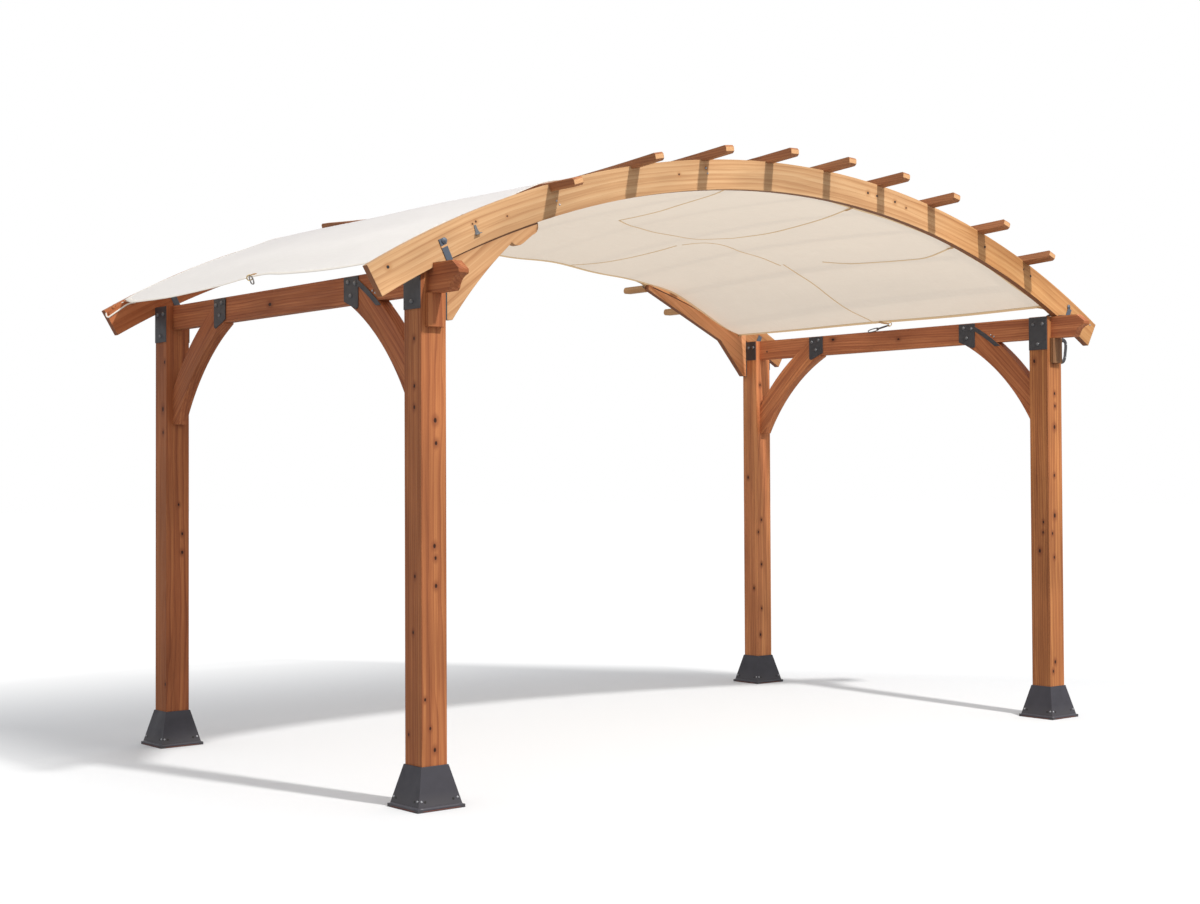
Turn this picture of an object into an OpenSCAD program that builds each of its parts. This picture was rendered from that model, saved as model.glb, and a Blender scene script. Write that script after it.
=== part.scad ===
// Arched garden gazebo: four timber posts, two side beams, two bent-lath
// arches, cross purlins and one cream canopy sheet.  Millimetres, +Z up.
// X runs along the arches, Y runs from the open front (-Y) to the back.

/* [Plan] */
// distance between post centres along the arches
bay_width = 4166; // [3000:5000]
// distance between post centres from front to back
bay_depth = 2356; // [1800:3200]

/* [Posts and base covers] */
// side of the square post
post_size = 124; // [90:180]
// side of the cover's bottom flange
cover_flange = 232; // [190:300]
// height of the cover's bottom flange
flange_height = 14; // [6:30]
// side of the sloping body where it leaves the flange
cover_foot = 216; // [170:290]
// side of the sloping body at its top
cover_top = 134; // [128:200]
// overall height of the cover
cover_height = 176; // [120:260]
// sheet thickness of the cover
cover_wall = 3; // [1.5:0.5:6]

/* [Side beams] */
// height of the beam's underside above the floor
beam_under = 2127; // [1900:2400]
// height of the beam's face
beam_height = 122; // [90:180]
// thickness of the beam
beam_thick = 50; // [36:90]
// how far the shaped front end passes the post's front face
nose_reach = 222; // [120:400]
// length of the sloped cut on top of the front end
nose_slope_run = 50; // [20:90]
// drop of the sloped cut
nose_slope_drop = 38; // [15:60]
// upright flat left at the very tip
nose_flat = 16; // [6:40]
// running gap where one timber drops into another
fit_gap = 0.5; // [0.2:0.1:2]

/* [Arches] */
// outer radius of the arch
arch_radius = 4773; // [4000:6000]
// depth of the arch section, measured along the radius
arch_depth = 141; // [90:200]
// thickness of the arch
arch_thick = 36; // [24:60]
// depth of the seat cut over the beam, on the beam's centre line
arch_seat = 7; // [3:25]
// how far the arch's top corner passes the beam's centre line
arch_overhang = 340; // [200:460]

/* [Purlins] */
// width of a purlin
purlin_width = 50; // [36:80]
// height of a purlin
purlin_height = 38; // [28:60]
// half of the purlin's length
purlin_half = 1450; // [1300:1800]
// distance from the beam's centre line in to the outermost purlin
purlin_inset = 256; // [120:400]
// depth of the housing cut into the arch for each purlin
purlin_housing = 5; // [2:20]
// sag of a purlin's middle below its seats
purlin_bow = 40; // [10:80]
// how much deeper the second purlin is let in
low_purlin_drop = 28; // [0:50]
// where the second purlin's rear end stops, behind the middle
low_purlin_back = 1280; // [1278:1450]
// small cut on the ends of a purlin
purlin_cut = 9; // [3:16]

/* [Braces] */
// radius of a knee brace's hollow edge
knee_radius = 1156; // [900:1500]
// width of a knee brace, measured along its radius
knee_width = 128; // [110:180]
// thickness of a knee brace
knee_thick = 54; // [40:90]
// depth of a knee brace's lap on each face of the beam
knee_lap = 8; // [4:14]
// reach of the front knee braces along the beam
knee_front = 502; // [420:620]
// reach of the back knee braces along the beam
knee_back = 570; // [480:680]
// foot of a knee brace below the beam's underside
knee_foot = 487; // [400:600]
// length taken off a knee brace's sharp tip
knee_trim = 15; // [8:40]
// thickness of an arch brace
arch_brace_thick = 36; // [24:60]
// foot of the arch brace below the beam's underside
arch_brace_drop = 106; // [80:200]
// width of the arch brace's foot
arch_brace_foot = 26; // [16:60]
// reach of the arch brace along the arch, from the post
arch_brace_reach = 483; // [380:620]
// hollow of the arch brace's lower edge
arch_brace_hollow = 12; // [4:30]
// radius of the two lobes at the arch brace's upper end
arch_brace_lobe = 40; // [25:60]
// overlap of the arch braces behind the arch
arch_brace_lap = 16; // [8:40]
// reach of the long back arch brace, from the post
long_brace_reach = 852; // [700:1100]
// run of its steep lower stretch
long_brace_run = 231; // [160:300]
// rise of its steep lower stretch
long_brace_rise = 228; // [160:300]
// depth of its thin end below the arch
long_brace_tip = 44; // [30:80]
// gap between its upper stretch and the arch
long_brace_gap = 21; // [8:30]
// part of its reach that is lapped behind the arch
long_brace_seat = 420; // [300:520]
// side of the two tie pegs behind the long brace
peg_size = 40; // [24:60]
// length of the tie pegs
peg_length = 210; // [80:300]
// distance of the outer peg from the post
peg_outer = 494; // [440:560]
// distance of the inner peg from the post
peg_inner = 834; // [700:900]

/* [Steel plates] */
// thickness of the plates
plate_thick = 4; // [2:0.5:8]
// how far the corner plate passes below the beam
corner_plate_drop = 64; // [40:100]
// thickness of the seat plate behind an arch brace
seat_thick = 7; // [4:12]
// width of the knee brace's plate
knee_plate_width = 118; // [70:180]
// how far a front knee plate passes the brace's head
knee_plate_front = 36; // [0:60]
// how far a back knee plate passes the brace's head
knee_plate_back = 8; // [0:60]
// how far the knee brace's plate passes below the beam
knee_plate_drop = 26; // [10:50]
// width of the curved strap beside the front knee plates
strap_width = 24; // [10:40]
// how far the curved strap passes below the beam
strap_drop = 22; // [5:50]
// width of the strap that ties the arch down on the beam
tie_width = 31; // [18:60]
// height of the strap on the arch's face
tie_height = 92; // [50:120]
// depth of the strap's foot on the beam
tie_leg = 30; // [20:80]
// distance of the strap from the beam's centre line
tie_shift = 55; // [30:90]
// diameter of a bolt head
bolt_head = 16; // [8:24]
// height of a bolt head
bolt_rise = 5; // [3:10]
// width of the side bracket on the front right post
side_bracket_width = 44; // [30:80]
// height of the side bracket
side_bracket_height = 122; // [80:160]
// how far the side bracket's ear stands out from its plate
side_bracket_ear = 34; // [20:60]

/* [Cleats] */
// width of the cleat under a beam's front end
cleat_width = 80; // [50:120]
// thickness of the cleat
cleat_thick = 25; // [15:40]
// height of the cleat
cleat_height = 140; // [90:200]

/* [Canopy] */
// how far the left edge passes the left beam's centre line
canopy_left_out = 287; // [150:330]
// height of the left edge above the beams
canopy_left_lift = 7; // [-30:60]
// how far the right edge passes the right beam's centre line
canopy_right_out = -38; // [-100:150]
// height of the right edge above the beams
canopy_right_lift = 48; // [20:100]
// how far the sheet's crown lies above the arches' lower edge
canopy_crown = 17; // [-60:60]
// thickness of the sheet
canopy_thick = 3; // [2:0.5:8]
// free gap between the sheet and the arches' faces
canopy_gap = 18; // [10:40]

/* [Hidden] */
half_w = bay_width / 2;
half_d = bay_depth / 2;
half_p = post_size / 2;
beam_top = beam_under + beam_height;
face_y = half_d + half_p;                 // outer faces of the posts, front and back
inner_y = half_d - half_p;                // inner faces of the posts, front and back
arch_inner = arch_radius - arch_depth;
arch_centre = beam_top - arch_seat - sqrt(arch_inner * arch_inner - half_w * half_w); // height of the arch's centre
arch_half_angle = asin((half_w + arch_overhang) / arch_radius);
purlin_floor = arch_radius - purlin_housing;
purlin_count = 10;
purlin_pitch = 2 * asin((half_w - purlin_inset) / arch_radius) / (purlin_count - 1);
purlin_stray = [0, -0.6, 0.2, 0.4, 0.45, 0.2, -0.1, -0.4, -0.4, -0.5]; // degrees each stands off the even pitch
purlin_sink = [0, low_purlin_drop, 8, 0, 0, 0, 0, 0, 0, 0];            // how much deeper each is let in
purlin_seat = face_y + arch_thick;        // outer faces of the arches
purlin_bend = (purlin_seat * purlin_seat + purlin_bow * purlin_bow) / (2 * purlin_bow); // radius of a sagging purlin's underside
purlin_tip = purlin_bend - purlin_bow - sqrt(purlin_bend * purlin_bend - purlin_half * purlin_half); // rise of its ends above the seats
purlin_blank = 100;                       // spare height of the blank a purlin is bent from
knee_outer = knee_radius + knee_width;
knee_head_gap = 6;                        // top of a knee brace's cheeks kept off the beam's top edge
plate_lift = 3;                           // plate edge kept off the beam's top edge
plate_bolts = [0.24, 0.76];               // places of the corner plate's upper bolts, in plate widths
plate_bolt_drop = 42;                     // their distance from the beam's top edge
plate_bolt_min = 30;                      // a lower bolt only where the plate passes the beam by more
knee_bolts = [[0.3, 26], [0.8, 34], [0.5, 86]]; // [place in plate widths, distance from the beam's top edge]
knee_plate_rise = 14;                     // inner lower corner of a knee plate above the beam's underside
knee_plate_clip = [16, 8];                // clipped outer lower corner of a knee plate
strap_run = 300;                          // length of beam within which the curved strap is kept
bolt_sink = 0.5;                          // bolts let into the plates
cove_shift = 6;                           // centre of the cove beyond the beam end's lower corner
cove_extra = 2;                           // its radius beyond the height it cuts away
brace_blank = 400;                        // height of a brace's blank before it is trimmed to the arch
nose_hang = 8;                            // lobe centres and step of the arch brace below the arch
lobe_hang = 33;
step_hang = 66;
lobe_pitch = 1.8;                         // distances between them, in lobe radii
step_pitch = 1.375;
web_run = [30, 12];                       // corners of the web between the lobes, past their centres
web_sink = [0.72, 0.95];                  // and below them, in lobe radii
packing_block = 36;                       // width of the packing block on the long brace's end
peg_drop = 2;                             // pegs kept below the timber they hang from
tie_foot_start = 10;                      // foot of the arch strap inside the beam's centre line
spare_bracket_lean = 1.25;                // lean of the spare bracket towards the arch's tail
spare_bracket_lift = 45;                  // its foot above the arch's lower edge
spare_bracket_shelf = [30, 16, 3];        // shelf of the spare bracket
side_bracket_inset = 12;                  // side bracket behind the post's front face
side_bracket_hang = 128;                  // its lower edge below the beam's underside
side_bracket_step = 18;                   // its ear behind its own front edge
canopy_half_y = face_y - canopy_gap;
canopy_left = half_w + canopy_left_out;
canopy_right = half_w + canopy_right_out;
canopy_left_height = beam_top + canopy_left_lift;
canopy_right_height = beam_top + canopy_right_lift;
canopy_rise = arch_centre + arch_inner + canopy_crown - (canopy_left_height + canopy_right_height) / 2;
// circle through both canopy edges with the wanted rise
chord_x = canopy_left + canopy_right;
chord_z = canopy_right_height - canopy_left_height;
chord = sqrt(chord_x * chord_x + chord_z * chord_z);
chord_angle = atan2(chord_z, chord_x);
canopy_radius = (chord * chord / 4 + canopy_rise * canopy_rise) / (2 * canopy_rise);
canopy_half_angle = asin(chord / 2 / canopy_radius);
$fn = 96;

// ---- posts --------------------------------------------------------------
// square post, open at the top so the beam drops into it
module post(x, y) {
  translate([x, y, 0]) difference() {
    translate([-half_p, -half_p, 0]) cube([post_size, post_size, beam_top]);
    translate([-beam_thick / 2 - fit_gap, -post_size, beam_under])
      cube([beam_thick + 2 * fit_gap, 2 * post_size, beam_height * 2]);
  }
}

// wedge-sided body: the same trapezium cut along both directions
module frustum(bottom, top, low, high) {
  intersection() {
    rotate([90, 0, 0]) linear_extrude(height = bottom * 2, center = true)
      polygon([[-bottom / 2, low], [bottom / 2, low], [top / 2, high], [-top / 2, high]]);
    rotate([90, 0, 90]) linear_extrude(height = bottom * 2, center = true)
      polygon([[-bottom / 2, low], [bottom / 2, low], [top / 2, high], [-top / 2, high]]);
  }
}

module base_cover(x, y) {
  translate([x, y, 0]) difference() {
    union() {
      translate([-cover_flange / 2, -cover_flange / 2, 0])
        cube([cover_flange, cover_flange, flange_height]);
      frustum(cover_foot, cover_top, flange_height, cover_height);
    }
    // hollow under the sloping walls
    frustum(cover_foot - 2 * cover_wall, cover_top - 2 * cover_wall, flange_height - 0.01, cover_height - cover_wall);
    translate([-cover_foot / 2 + cover_wall, -cover_foot / 2 + cover_wall, -1])
      cube([cover_foot - 2 * cover_wall, cover_foot - 2 * cover_wall, flange_height + 1]);
    translate([-half_p - fit_gap, -half_p - fit_gap, 0])
      cube([post_size + 2 * fit_gap, post_size + 2 * fit_gap, cover_height + 1]);
  }
}

// ---- beams --------------------------------------------------------------
// outline seen from the side: x of the polygon is world Y, y is world Z
module beam(x) {
  tip = -face_y - nose_reach;
  cove = beam_height - nose_slope_drop - nose_flat;
  tail = face_y + arch_thick;
  translate([x, 0, 0]) rotate([90, 0, 90]) translate([0, 0, -beam_thick / 2]) difference() {
    linear_extrude(height = beam_thick)
      polygon([[tip, beam_top - nose_slope_drop], [tip + nose_slope_run, beam_top],
        [tail, beam_top], [tail, beam_under],
        [tip + cove + cove_shift, beam_under], [tip, beam_under + cove]]);
    // hollow curve below the tip
    translate([tip - cove_shift, beam_under - cove_shift, -1]) cylinder(r = cove + cove_extra, h = beam_thick + 2);
  }
}

// the beam with the shallow housings for the knee braces' cheeks
module housed_beam(x) {
  difference() {
    beam(x);
    for (side = [-1, 1]) difference() {
      knee_ring(x, side, beam_thick + 10, fit_gap);
      translate([x - beam_thick / 2 + knee_lap, -bay_depth, beam_under - 1])
        cube([beam_thick - 2 * knee_lap, 2 * bay_depth, beam_height * 2]);
    }
  }
}

// ---- arches -------------------------------------------------------------
// pie slice around the arch centre, from one angle to the other
module slice(from, to, reach, thick) {
  linear_extrude(height = thick)
    polygon([[0, 0], [reach * sin(from), reach * cos(from)],
      [reach * 1.2 * sin((from + to) / 2), reach * 1.2 * cos((from + to) / 2)],
      [reach * sin(to), reach * cos(to)]]);
}

module arch_band(y) {
  translate([0, y + arch_thick, arch_centre]) rotate([90, 0, 0]) intersection() {
    difference() {
      cylinder(r = arch_radius, h = arch_thick, $fn = 360);
      translate([0, 0, -1]) cylinder(r = arch_inner, h = arch_thick + 2, $fn = 360);
    }
    slice(-arch_half_angle, arch_half_angle, arch_radius * 1.1, arch_thick);
  }
}

// y is the arch's lower-Y face
module arch(y) {
  difference() {
    arch_band(y);
    for (i = [2 : purlin_count]) at_purlin(i)
      translate([-purlin_width / 2 - fit_gap, y - 1, 0])
        cube([purlin_width + 2 * fit_gap, arch_thick + 2, purlin_height * 2]);
    // seats over the two beams
    for (s = [-1, 1]) translate([s * half_w - beam_thick / 2 - fit_gap, y - 1, beam_under - 40])
      cube([beam_thick + 2 * fit_gap, arch_thick + 2, beam_height + 40]);
  }
}

// ---- purlins ------------------------------------------------------------
// number 1 would be the one at the left end; it is absent on this gazebo
module at_purlin(i) {
  a = (i - (purlin_count + 1) / 2) * purlin_pitch + purlin_stray[i - 1];
  translate([0, 0, arch_centre]) rotate([0, a, 0]) translate([0, 0, purlin_floor - purlin_sink[i - 1]]) children();
}

// the second purlin is straight, lies flush with the arches and has no tail at the back
module straight_purlin() {
  linear_extrude(height = purlin_width)
    polygon([[-purlin_half, purlin_cut], [-purlin_half + purlin_cut, 0], [low_purlin_back - purlin_cut, 0],
      [low_purlin_back, purlin_cut], [low_purlin_back, purlin_height - purlin_cut],
      [low_purlin_back - purlin_cut, purlin_height], [-purlin_half + purlin_cut, purlin_height],
      [-purlin_half, purlin_height - purlin_cut]]);
}

// the others sag between the arches and sit on them with flat seats
module sagging_purlin() {
  low = purlin_tip - purlin_blank;
  high = purlin_tip + purlin_height + purlin_blank;
  inner = purlin_half - purlin_cut - purlin_blank;
  difference() {
    intersection() {
      translate([0, purlin_bend - purlin_bow, 0]) difference() {
        cylinder(r = purlin_bend, h = purlin_width, $fn = 720);
        translate([0, 0, -1]) cylinder(r = purlin_bend - purlin_height, h = purlin_width + 2, $fn = 720);
      }
      linear_extrude(height = purlin_width)
        polygon([[-purlin_half, purlin_tip + purlin_cut], [-inner, low], [inner, low],
          [purlin_half, purlin_tip + purlin_cut], [purlin_half, purlin_tip + purlin_height - purlin_cut],
          [inner, high], [-inner, high], [-purlin_half, purlin_tip + purlin_height - purlin_cut]]);
    }
    for (s = [-1, 1]) translate([s * (face_y + arch_thick / 2) - arch_thick / 2 - fit_gap, -purlin_blank, -1])
      cube([arch_thick + 2 * fit_gap, purlin_blank, purlin_width + 2]);
  }
}

module purlin(i) {
  at_purlin(i) rotate([90, 0, 90]) translate([0, 0, -purlin_width / 2]) {
    if (i == 2) straight_purlin();
    else sagging_purlin();
  }
}

// ---- braces -------------------------------------------------------------
// distance of a knee brace's centre from the corner, along post and beam alike
function knee_off(reach) = (reach + sqrt(2 * knee_radius * knee_radius - reach * reach)) / 2;
function knee_reach(side) = side < 0 ? knee_front : knee_back;

// part of a ring from the foot up over the beam's face; side is -1 for the front pair
module knee_ring(x, side, thick, spare) {
  off = knee_off(knee_reach(side));
  head = knee_reach(side) - knee_trim + spare;
  foot = min(head, knee_foot);
  translate([x - thick / 2, 0, 0]) rotate([90, 0, 90]) intersection() {
    translate([side * (inner_y - off), beam_under - off, 0]) difference() {
      cylinder(r = knee_outer + spare, h = thick, $fn = 240);
      translate([0, 0, -1]) cylinder(r = knee_radius - spare, h = thick + 2, $fn = 240);
    }
    translate([side < 0 ? -inner_y : inner_y - head, beam_under - foot, 0])
      cube([head, foot + beam_height - knee_head_gap + spare, thick]);
  }
}

// the brace's head is slotted over the beam's web
module knee_brace(x, side) {
  difference() {
    knee_ring(x, side, knee_thick, 0);
    translate([x - beam_thick / 2 + knee_lap - fit_gap, -bay_depth, beam_under])
      cube([beam_thick - 2 * knee_lap + 2 * fit_gap, 2 * bay_depth, beam_height * 2]);
  }
}

// height of the arch's lower edge
function arch_z(x) = arch_centre + sqrt(arch_inner * arch_inner - x * x);

// brace between the post's seat plate and the back of the front arch
module arch_brace() {
  post_x = -half_w + half_p + seat_thick;
  foot_z = beam_under - arch_brace_drop;
  nose_x = -half_w + half_p + arch_brace_reach - arch_brace_lobe;
  lobe_x = nose_x - arch_brace_lobe * lobe_pitch;
  step_x = lobe_x - arch_brace_lobe * step_pitch;
  nose_z = arch_z(nose_x) - nose_hang;
  lobe_z = arch_z(lobe_x) - lobe_hang;
  step_z = arch_z(step_x) - step_hang;
  // shallow hollow between the foot and the step
  run = [step_x - post_x - arch_brace_foot, step_z - foot_z];
  span = norm(run);
  bow = span * span / (8 * arch_brace_hollow) + arch_brace_hollow / 2;
  middle = [post_x + arch_brace_foot, foot_z] + run / 2 + [run[1], -run[0]] / span * (bow - arch_brace_hollow);
  translate([0, -face_y + arch_brace_thick, 0]) rotate([90, 0, 0]) intersection() {
    translate([0, arch_centre, 0]) cylinder(r = arch_inner + arch_brace_lap, h = arch_brace_thick, $fn = 360);
    union() {
      difference() {
        linear_extrude(height = arch_brace_thick)
          polygon([[post_x, foot_z], [post_x + arch_brace_foot, foot_z], [step_x, step_z], [lobe_x, lobe_z],
            [nose_x, nose_z], [nose_x, nose_z + brace_blank], [post_x, nose_z + brace_blank]]);
        translate([middle[0], middle[1], -1]) cylinder(r = bow, h = arch_brace_thick + 2, $fn = 360);
      }
      translate([lobe_x, lobe_z, 0]) cylinder(r = arch_brace_lobe, h = arch_brace_thick);
      translate([nose_x, nose_z, 0]) cylinder(r = arch_brace_lobe, h = arch_brace_thick);
      linear_extrude(height = arch_brace_thick)
        polygon([[lobe_x, lobe_z - arch_brace_lobe], [lobe_x + web_run[0], lobe_z - arch_brace_lobe * web_sink[0]],
          [nose_x + web_run[1], nose_z - arch_brace_lobe * web_sink[1]], [nose_x, nose_z], [lobe_x, lobe_z]]);
    }
  }
}

// longer brace without lobes for the back right; its upper stretch runs
// below the arch with a gap and carries a packing block at its end
module long_arch_brace() {
  post_x = -half_w + half_p;
  foot_z = beam_under - arch_brace_drop;
  tip_x = post_x + long_brace_reach;
  tip_z = arch_z(tip_x) - long_brace_tip;
  translate([0, -face_y + arch_brace_thick, 0]) rotate([90, 0, 0]) intersection() {
    linear_extrude(height = arch_brace_thick)
      polygon([[post_x + seat_thick, foot_z], [post_x + seat_thick + arch_brace_foot, foot_z],
        [post_x + long_brace_run, foot_z + long_brace_rise], [tip_x, tip_z],
        [tip_x, tip_z + brace_blank], [post_x + seat_thick, tip_z + brace_blank]]);
    translate([0, arch_centre, 0]) difference() {
      cylinder(r = arch_inner + arch_brace_lap, h = arch_brace_thick, $fn = 360);
      translate([0, 0, -1]) difference() {
        translate([post_x + long_brace_seat, 0, 0])
          cube([long_brace_reach - long_brace_seat - packing_block, arch_radius, arch_brace_thick + 2]);
        cylinder(r = arch_inner - long_brace_gap, h = arch_brace_thick + 2, $fn = 360);
      }
    }
  }
}

// tie pegs with a rounded end, standing out behind the long brace
module tie_pegs() {
  for (away = [peg_outer, peg_inner]) {
    x = half_w - half_p - away;
    top = (away == peg_inner ? arch_z(x + peg_size / 2) : arch_z(x) - long_brace_gap) - peg_drop;
    translate([x - peg_size / 2, face_y, top - peg_size]) union() {
      cube([peg_size, peg_length - peg_size / 2, peg_size]);
      translate([0, peg_length - peg_size / 2, peg_size / 2]) rotate([0, 90, 0]) cylinder(d = peg_size, h = peg_size);
    }
  }
}

// ---- steel --------------------------------------------------------------
module bolt(x, y, z, side) {
  translate([x, y, z]) rotate([0, side * 90, 0]) cylinder(d = bolt_head, h = bolt_rise, $fn = 6);
}

// a plate on both faces of the post, over the joint with the beam; on the
// face that carries an arch brace the plate is short, with a seat beside it
module corner_plates(x, y, brace) {
  for (s = [-1, 1]) {
    drop = s == brace ? 2 : corner_plate_drop;
    face = x + s * half_p;
    wide = s == brace ? post_size - arch_brace_thick + 1 : post_size;
    low = y < 0 ? y + half_p - wide : y - half_p;
    translate([s > 0 ? face : face - plate_thick, low, beam_under - drop])
      cube([plate_thick, wide, beam_height + drop - plate_lift]);
    if (s == brace)
      translate([s > 0 ? face : face - seat_thick, y < 0 ? -face_y : face_y - arch_brace_thick, beam_under - arch_brace_drop])
        cube([seat_thick, arch_brace_thick, beam_height + arch_brace_drop - plate_lift]);
    for (f = plate_bolts) bolt(face + s * (plate_thick - bolt_sink), low + f * wide, beam_top - plate_bolt_drop, s);
    if (drop > plate_bolt_min) bolt(face + s * (plate_thick - bolt_sink), low + wide / 2, beam_under - drop / 2, s);
  }
}

// plates on both faces of the beam over the brace's head; the front pair has
// a curved strap along the brace's upper edge
module knee_plates(x, side) {
  off = knee_off(knee_reach(side));
  near = inner_y - knee_reach(side) - (side < 0 ? knee_plate_front : knee_plate_back);
  far = near + knee_plate_width;
  high = beam_top - plate_lift;
  low = beam_under - knee_plate_drop;
  for (s = [-1, 1]) {
    translate([s > 0 ? x + knee_thick / 2 : x - knee_thick / 2 - plate_thick, 0, 0]) rotate([90, 0, 90]) {
      linear_extrude(height = plate_thick)
        polygon([[side * near, high], [side * far, high], [side * far, low + knee_plate_clip[1]],
          [side * (far - knee_plate_clip[0]), low], [side * near, beam_under + knee_plate_rise]]);
      if (side < 0) intersection() {
        translate([side * (inner_y - off), beam_under - off, 0]) difference() {
          cylinder(r = knee_outer - 1, h = plate_thick, $fn = 240);
          translate([0, 0, -1]) cylinder(r = knee_outer - 1 - strap_width, h = plate_thick + 2, $fn = 240);
        }
        translate([side * far - strap_run, beam_under - strap_drop, 0])
          cube([strap_run + 2, high - beam_under + strap_drop - 1, plate_thick]);
      }
    }
    for (f = knee_bolts)
      bolt(x + s * (knee_thick / 2 + plate_thick - bolt_sink), side * (near + f[0] * knee_plate_width), beam_top - f[1], s);
  }
}

// strap that ties an arch down on its beam; y is the arch's lower-Y face
module arch_tie(s, y) {
  lean = asin((s * half_w + tie_shift) / arch_inner);
  // where the strap's middle meets the top of the beam
  base = (beam_top - arch_centre) * tan(lean);
  reach = arch_inner + tie_height;
  wide = tie_width / 2;
  translate([0, y, 0]) rotate([90, 0, 0]) linear_extrude(height = plate_thick)
    polygon([[base - wide / cos(lean), beam_top], [base + wide / cos(lean), beam_top],
      [reach * sin(lean) + wide * cos(lean), arch_centre + reach * cos(lean) - wide * sin(lean)],
      [reach * sin(lean) - wide * cos(lean), arch_centre + reach * cos(lean) + wide * sin(lean)]]);
  translate([s * half_w - tie_foot_start, y - tie_leg, beam_top])
    cube([base - s * half_w + tie_foot_start, tie_leg, plate_thick]);
}

module nose_cleat(s) {
  translate([s * half_w - cleat_width / 2, -face_y - cleat_thick, beam_under - cleat_height])
    cube([cleat_width, cleat_thick, cleat_height]);
}

// small bracket left where the first purlin would sit
module empty_bracket() {
  shelf = spare_bracket_shelf;
  translate([0, -face_y - arch_thick, arch_centre]) rotate([0, -(purlin_count - 1) / 2 * purlin_pitch - spare_bracket_lean, 0])
    translate([0, 0, arch_inner + spare_bracket_lift]) union() {
      rotate([90, 0, 0]) linear_extrude(height = shelf[2])
        polygon([[-shelf[0] / 2, 0], [shelf[0] / 2, 0], [8, 14], [6, 40], [-4, 40], [-7, 14]]);
      translate([-shelf[0] / 2, -shelf[1], 0]) cube(shelf);
    }
}

module side_bracket() {
  ear = side_bracket_ear;
  high = side_bracket_height;
  translate([half_w + half_p, -face_y + side_bracket_inset, beam_under - side_bracket_hang]) union() {
    cube([plate_thick, side_bracket_width, high]);
    translate([plate_thick - 0.01, side_bracket_step, 0]) rotate([90, 0, 0])
      translate([0, 0, -plate_thick]) linear_extrude(height = plate_thick)
        polygon([[0, 0], [ear * 0.76, high * 0.11], [ear, high * 0.5], [ear, high * 0.85], [ear * 0.65, high * 0.97], [0, high]]);
  }
}

// ---- canopy -------------------------------------------------------------
module canopy_sheet() {
  translate([-canopy_left, 0, canopy_left_height]) rotate([0, -chord_angle, 0])
    translate([chord / 2, canopy_half_y, canopy_rise - canopy_radius]) rotate([90, 0, 0]) intersection() {
      difference() {
        cylinder(r = canopy_radius, h = 2 * canopy_half_y, $fn = 360);
        translate([0, 0, -1]) cylinder(r = canopy_radius - canopy_thick, h = 2 * canopy_half_y + 2, $fn = 360);
      }
      slice(-canopy_half_angle, canopy_half_angle, canopy_radius * 1.1, 2 * canopy_half_y);
    }
}

// ---- named subcomponents ------------------------------------------------
wood = [0.62, 0.34, 0.18];
pale = [0.80, 0.55, 0.33];
steel = [0.20, 0.21, 0.23];
cream = [0.93, 0.90, 0.84];

module post_front_left() color(wood) post(-half_w, -half_d);
module post_back_left() color(wood) post(-half_w, half_d);
module post_back_right() color(wood) post(half_w, half_d);
module post_front_right() color(wood) post(half_w, -half_d);
module base_cover_front_left() color(steel) base_cover(-half_w, -half_d);
module base_cover_back_left() color(steel) base_cover(-half_w, half_d);
module base_cover_back_right() color(steel) base_cover(half_w, half_d);
module base_cover_front_right() color(steel) base_cover(half_w, -half_d);
module beam_left() color(wood) housed_beam(-half_w);
module beam_right() color(wood) housed_beam(half_w);
module arch_front() color(pale) arch(-face_y - arch_thick);
module arch_back() color(pale) arch(face_y);
module knee_brace_front_left() color(wood) knee_brace(-half_w, -1);
module knee_brace_back_left() color(wood) knee_brace(-half_w, 1);
module knee_brace_back_right() color(wood) knee_brace(half_w, 1);
module knee_brace_front_right() color(wood) knee_brace(half_w, -1);
module arch_brace_front_left() color(pale) arch_brace();
module arch_brace_back_right() color(pale) rotate([0, 0, 180]) long_arch_brace();
module back_tie_pegs() color(pale) tie_pegs();
module corner_plates_front_left() color(steel) corner_plates(-half_w, -half_d, 1);
module corner_plates_back_left() color(steel) corner_plates(-half_w, half_d, 0);
module corner_plates_back_right() color(steel) corner_plates(half_w, half_d, -1);
module corner_plates_front_right() color(steel) corner_plates(half_w, -half_d, 0);
module knee_plates_front_left() color(steel) knee_plates(-half_w, -1);
module knee_plates_back_left() color(steel) knee_plates(-half_w, 1);
module knee_plates_back_right() color(steel) knee_plates(half_w, 1);
module knee_plates_front_right() color(steel) knee_plates(half_w, -1);
module arch_tie_front_left() color(steel) arch_tie(-1, -face_y - arch_thick);
module arch_tie_back_left() color(steel) arch_tie(-1, face_y);
module arch_tie_back_right() color(steel) arch_tie(1, face_y);
module arch_tie_front_right() color(steel) arch_tie(1, -face_y - arch_thick);
module nose_cleat_left() color(wood) nose_cleat(-1);
module nose_cleat_right() color(wood) nose_cleat(1);
module empty_purlin_bracket() color(steel) empty_bracket();
module side_bracket_front_right() color(steel) side_bracket();
module canopy() color(cream) canopy_sheet();

post_front_left();
post_back_left();
post_back_right();
post_front_right();
base_cover_front_left();
base_cover_back_left();
base_cover_back_right();
base_cover_front_right();
beam_left();
beam_right();
arch_front();
arch_back();
color(pale) purlin(2);  // purlin_2
color(pale) purlin(3);  // purlin_3
color(pale) purlin(4);  // purlin_4
color(pale) purlin(5);  // purlin_5
color(pale) purlin(6);  // purlin_6
color(pale) purlin(7);  // purlin_7
color(pale) purlin(8);  // purlin_8
color(pale) purlin(9);  // purlin_9
color(pale) purlin(10);  // purlin_10
knee_brace_front_left();
knee_brace_back_left();
knee_brace_back_right();
knee_brace_front_right();
arch_brace_front_left();
arch_brace_back_right();
back_tie_pegs();  // tie_pegs
corner_plates_front_left();
corner_plates_back_left();
corner_plates_back_right();
corner_plates_front_right();
knee_plates_front_left();
knee_plates_back_left();
knee_plates_back_right();
knee_plates_front_right();
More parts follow.
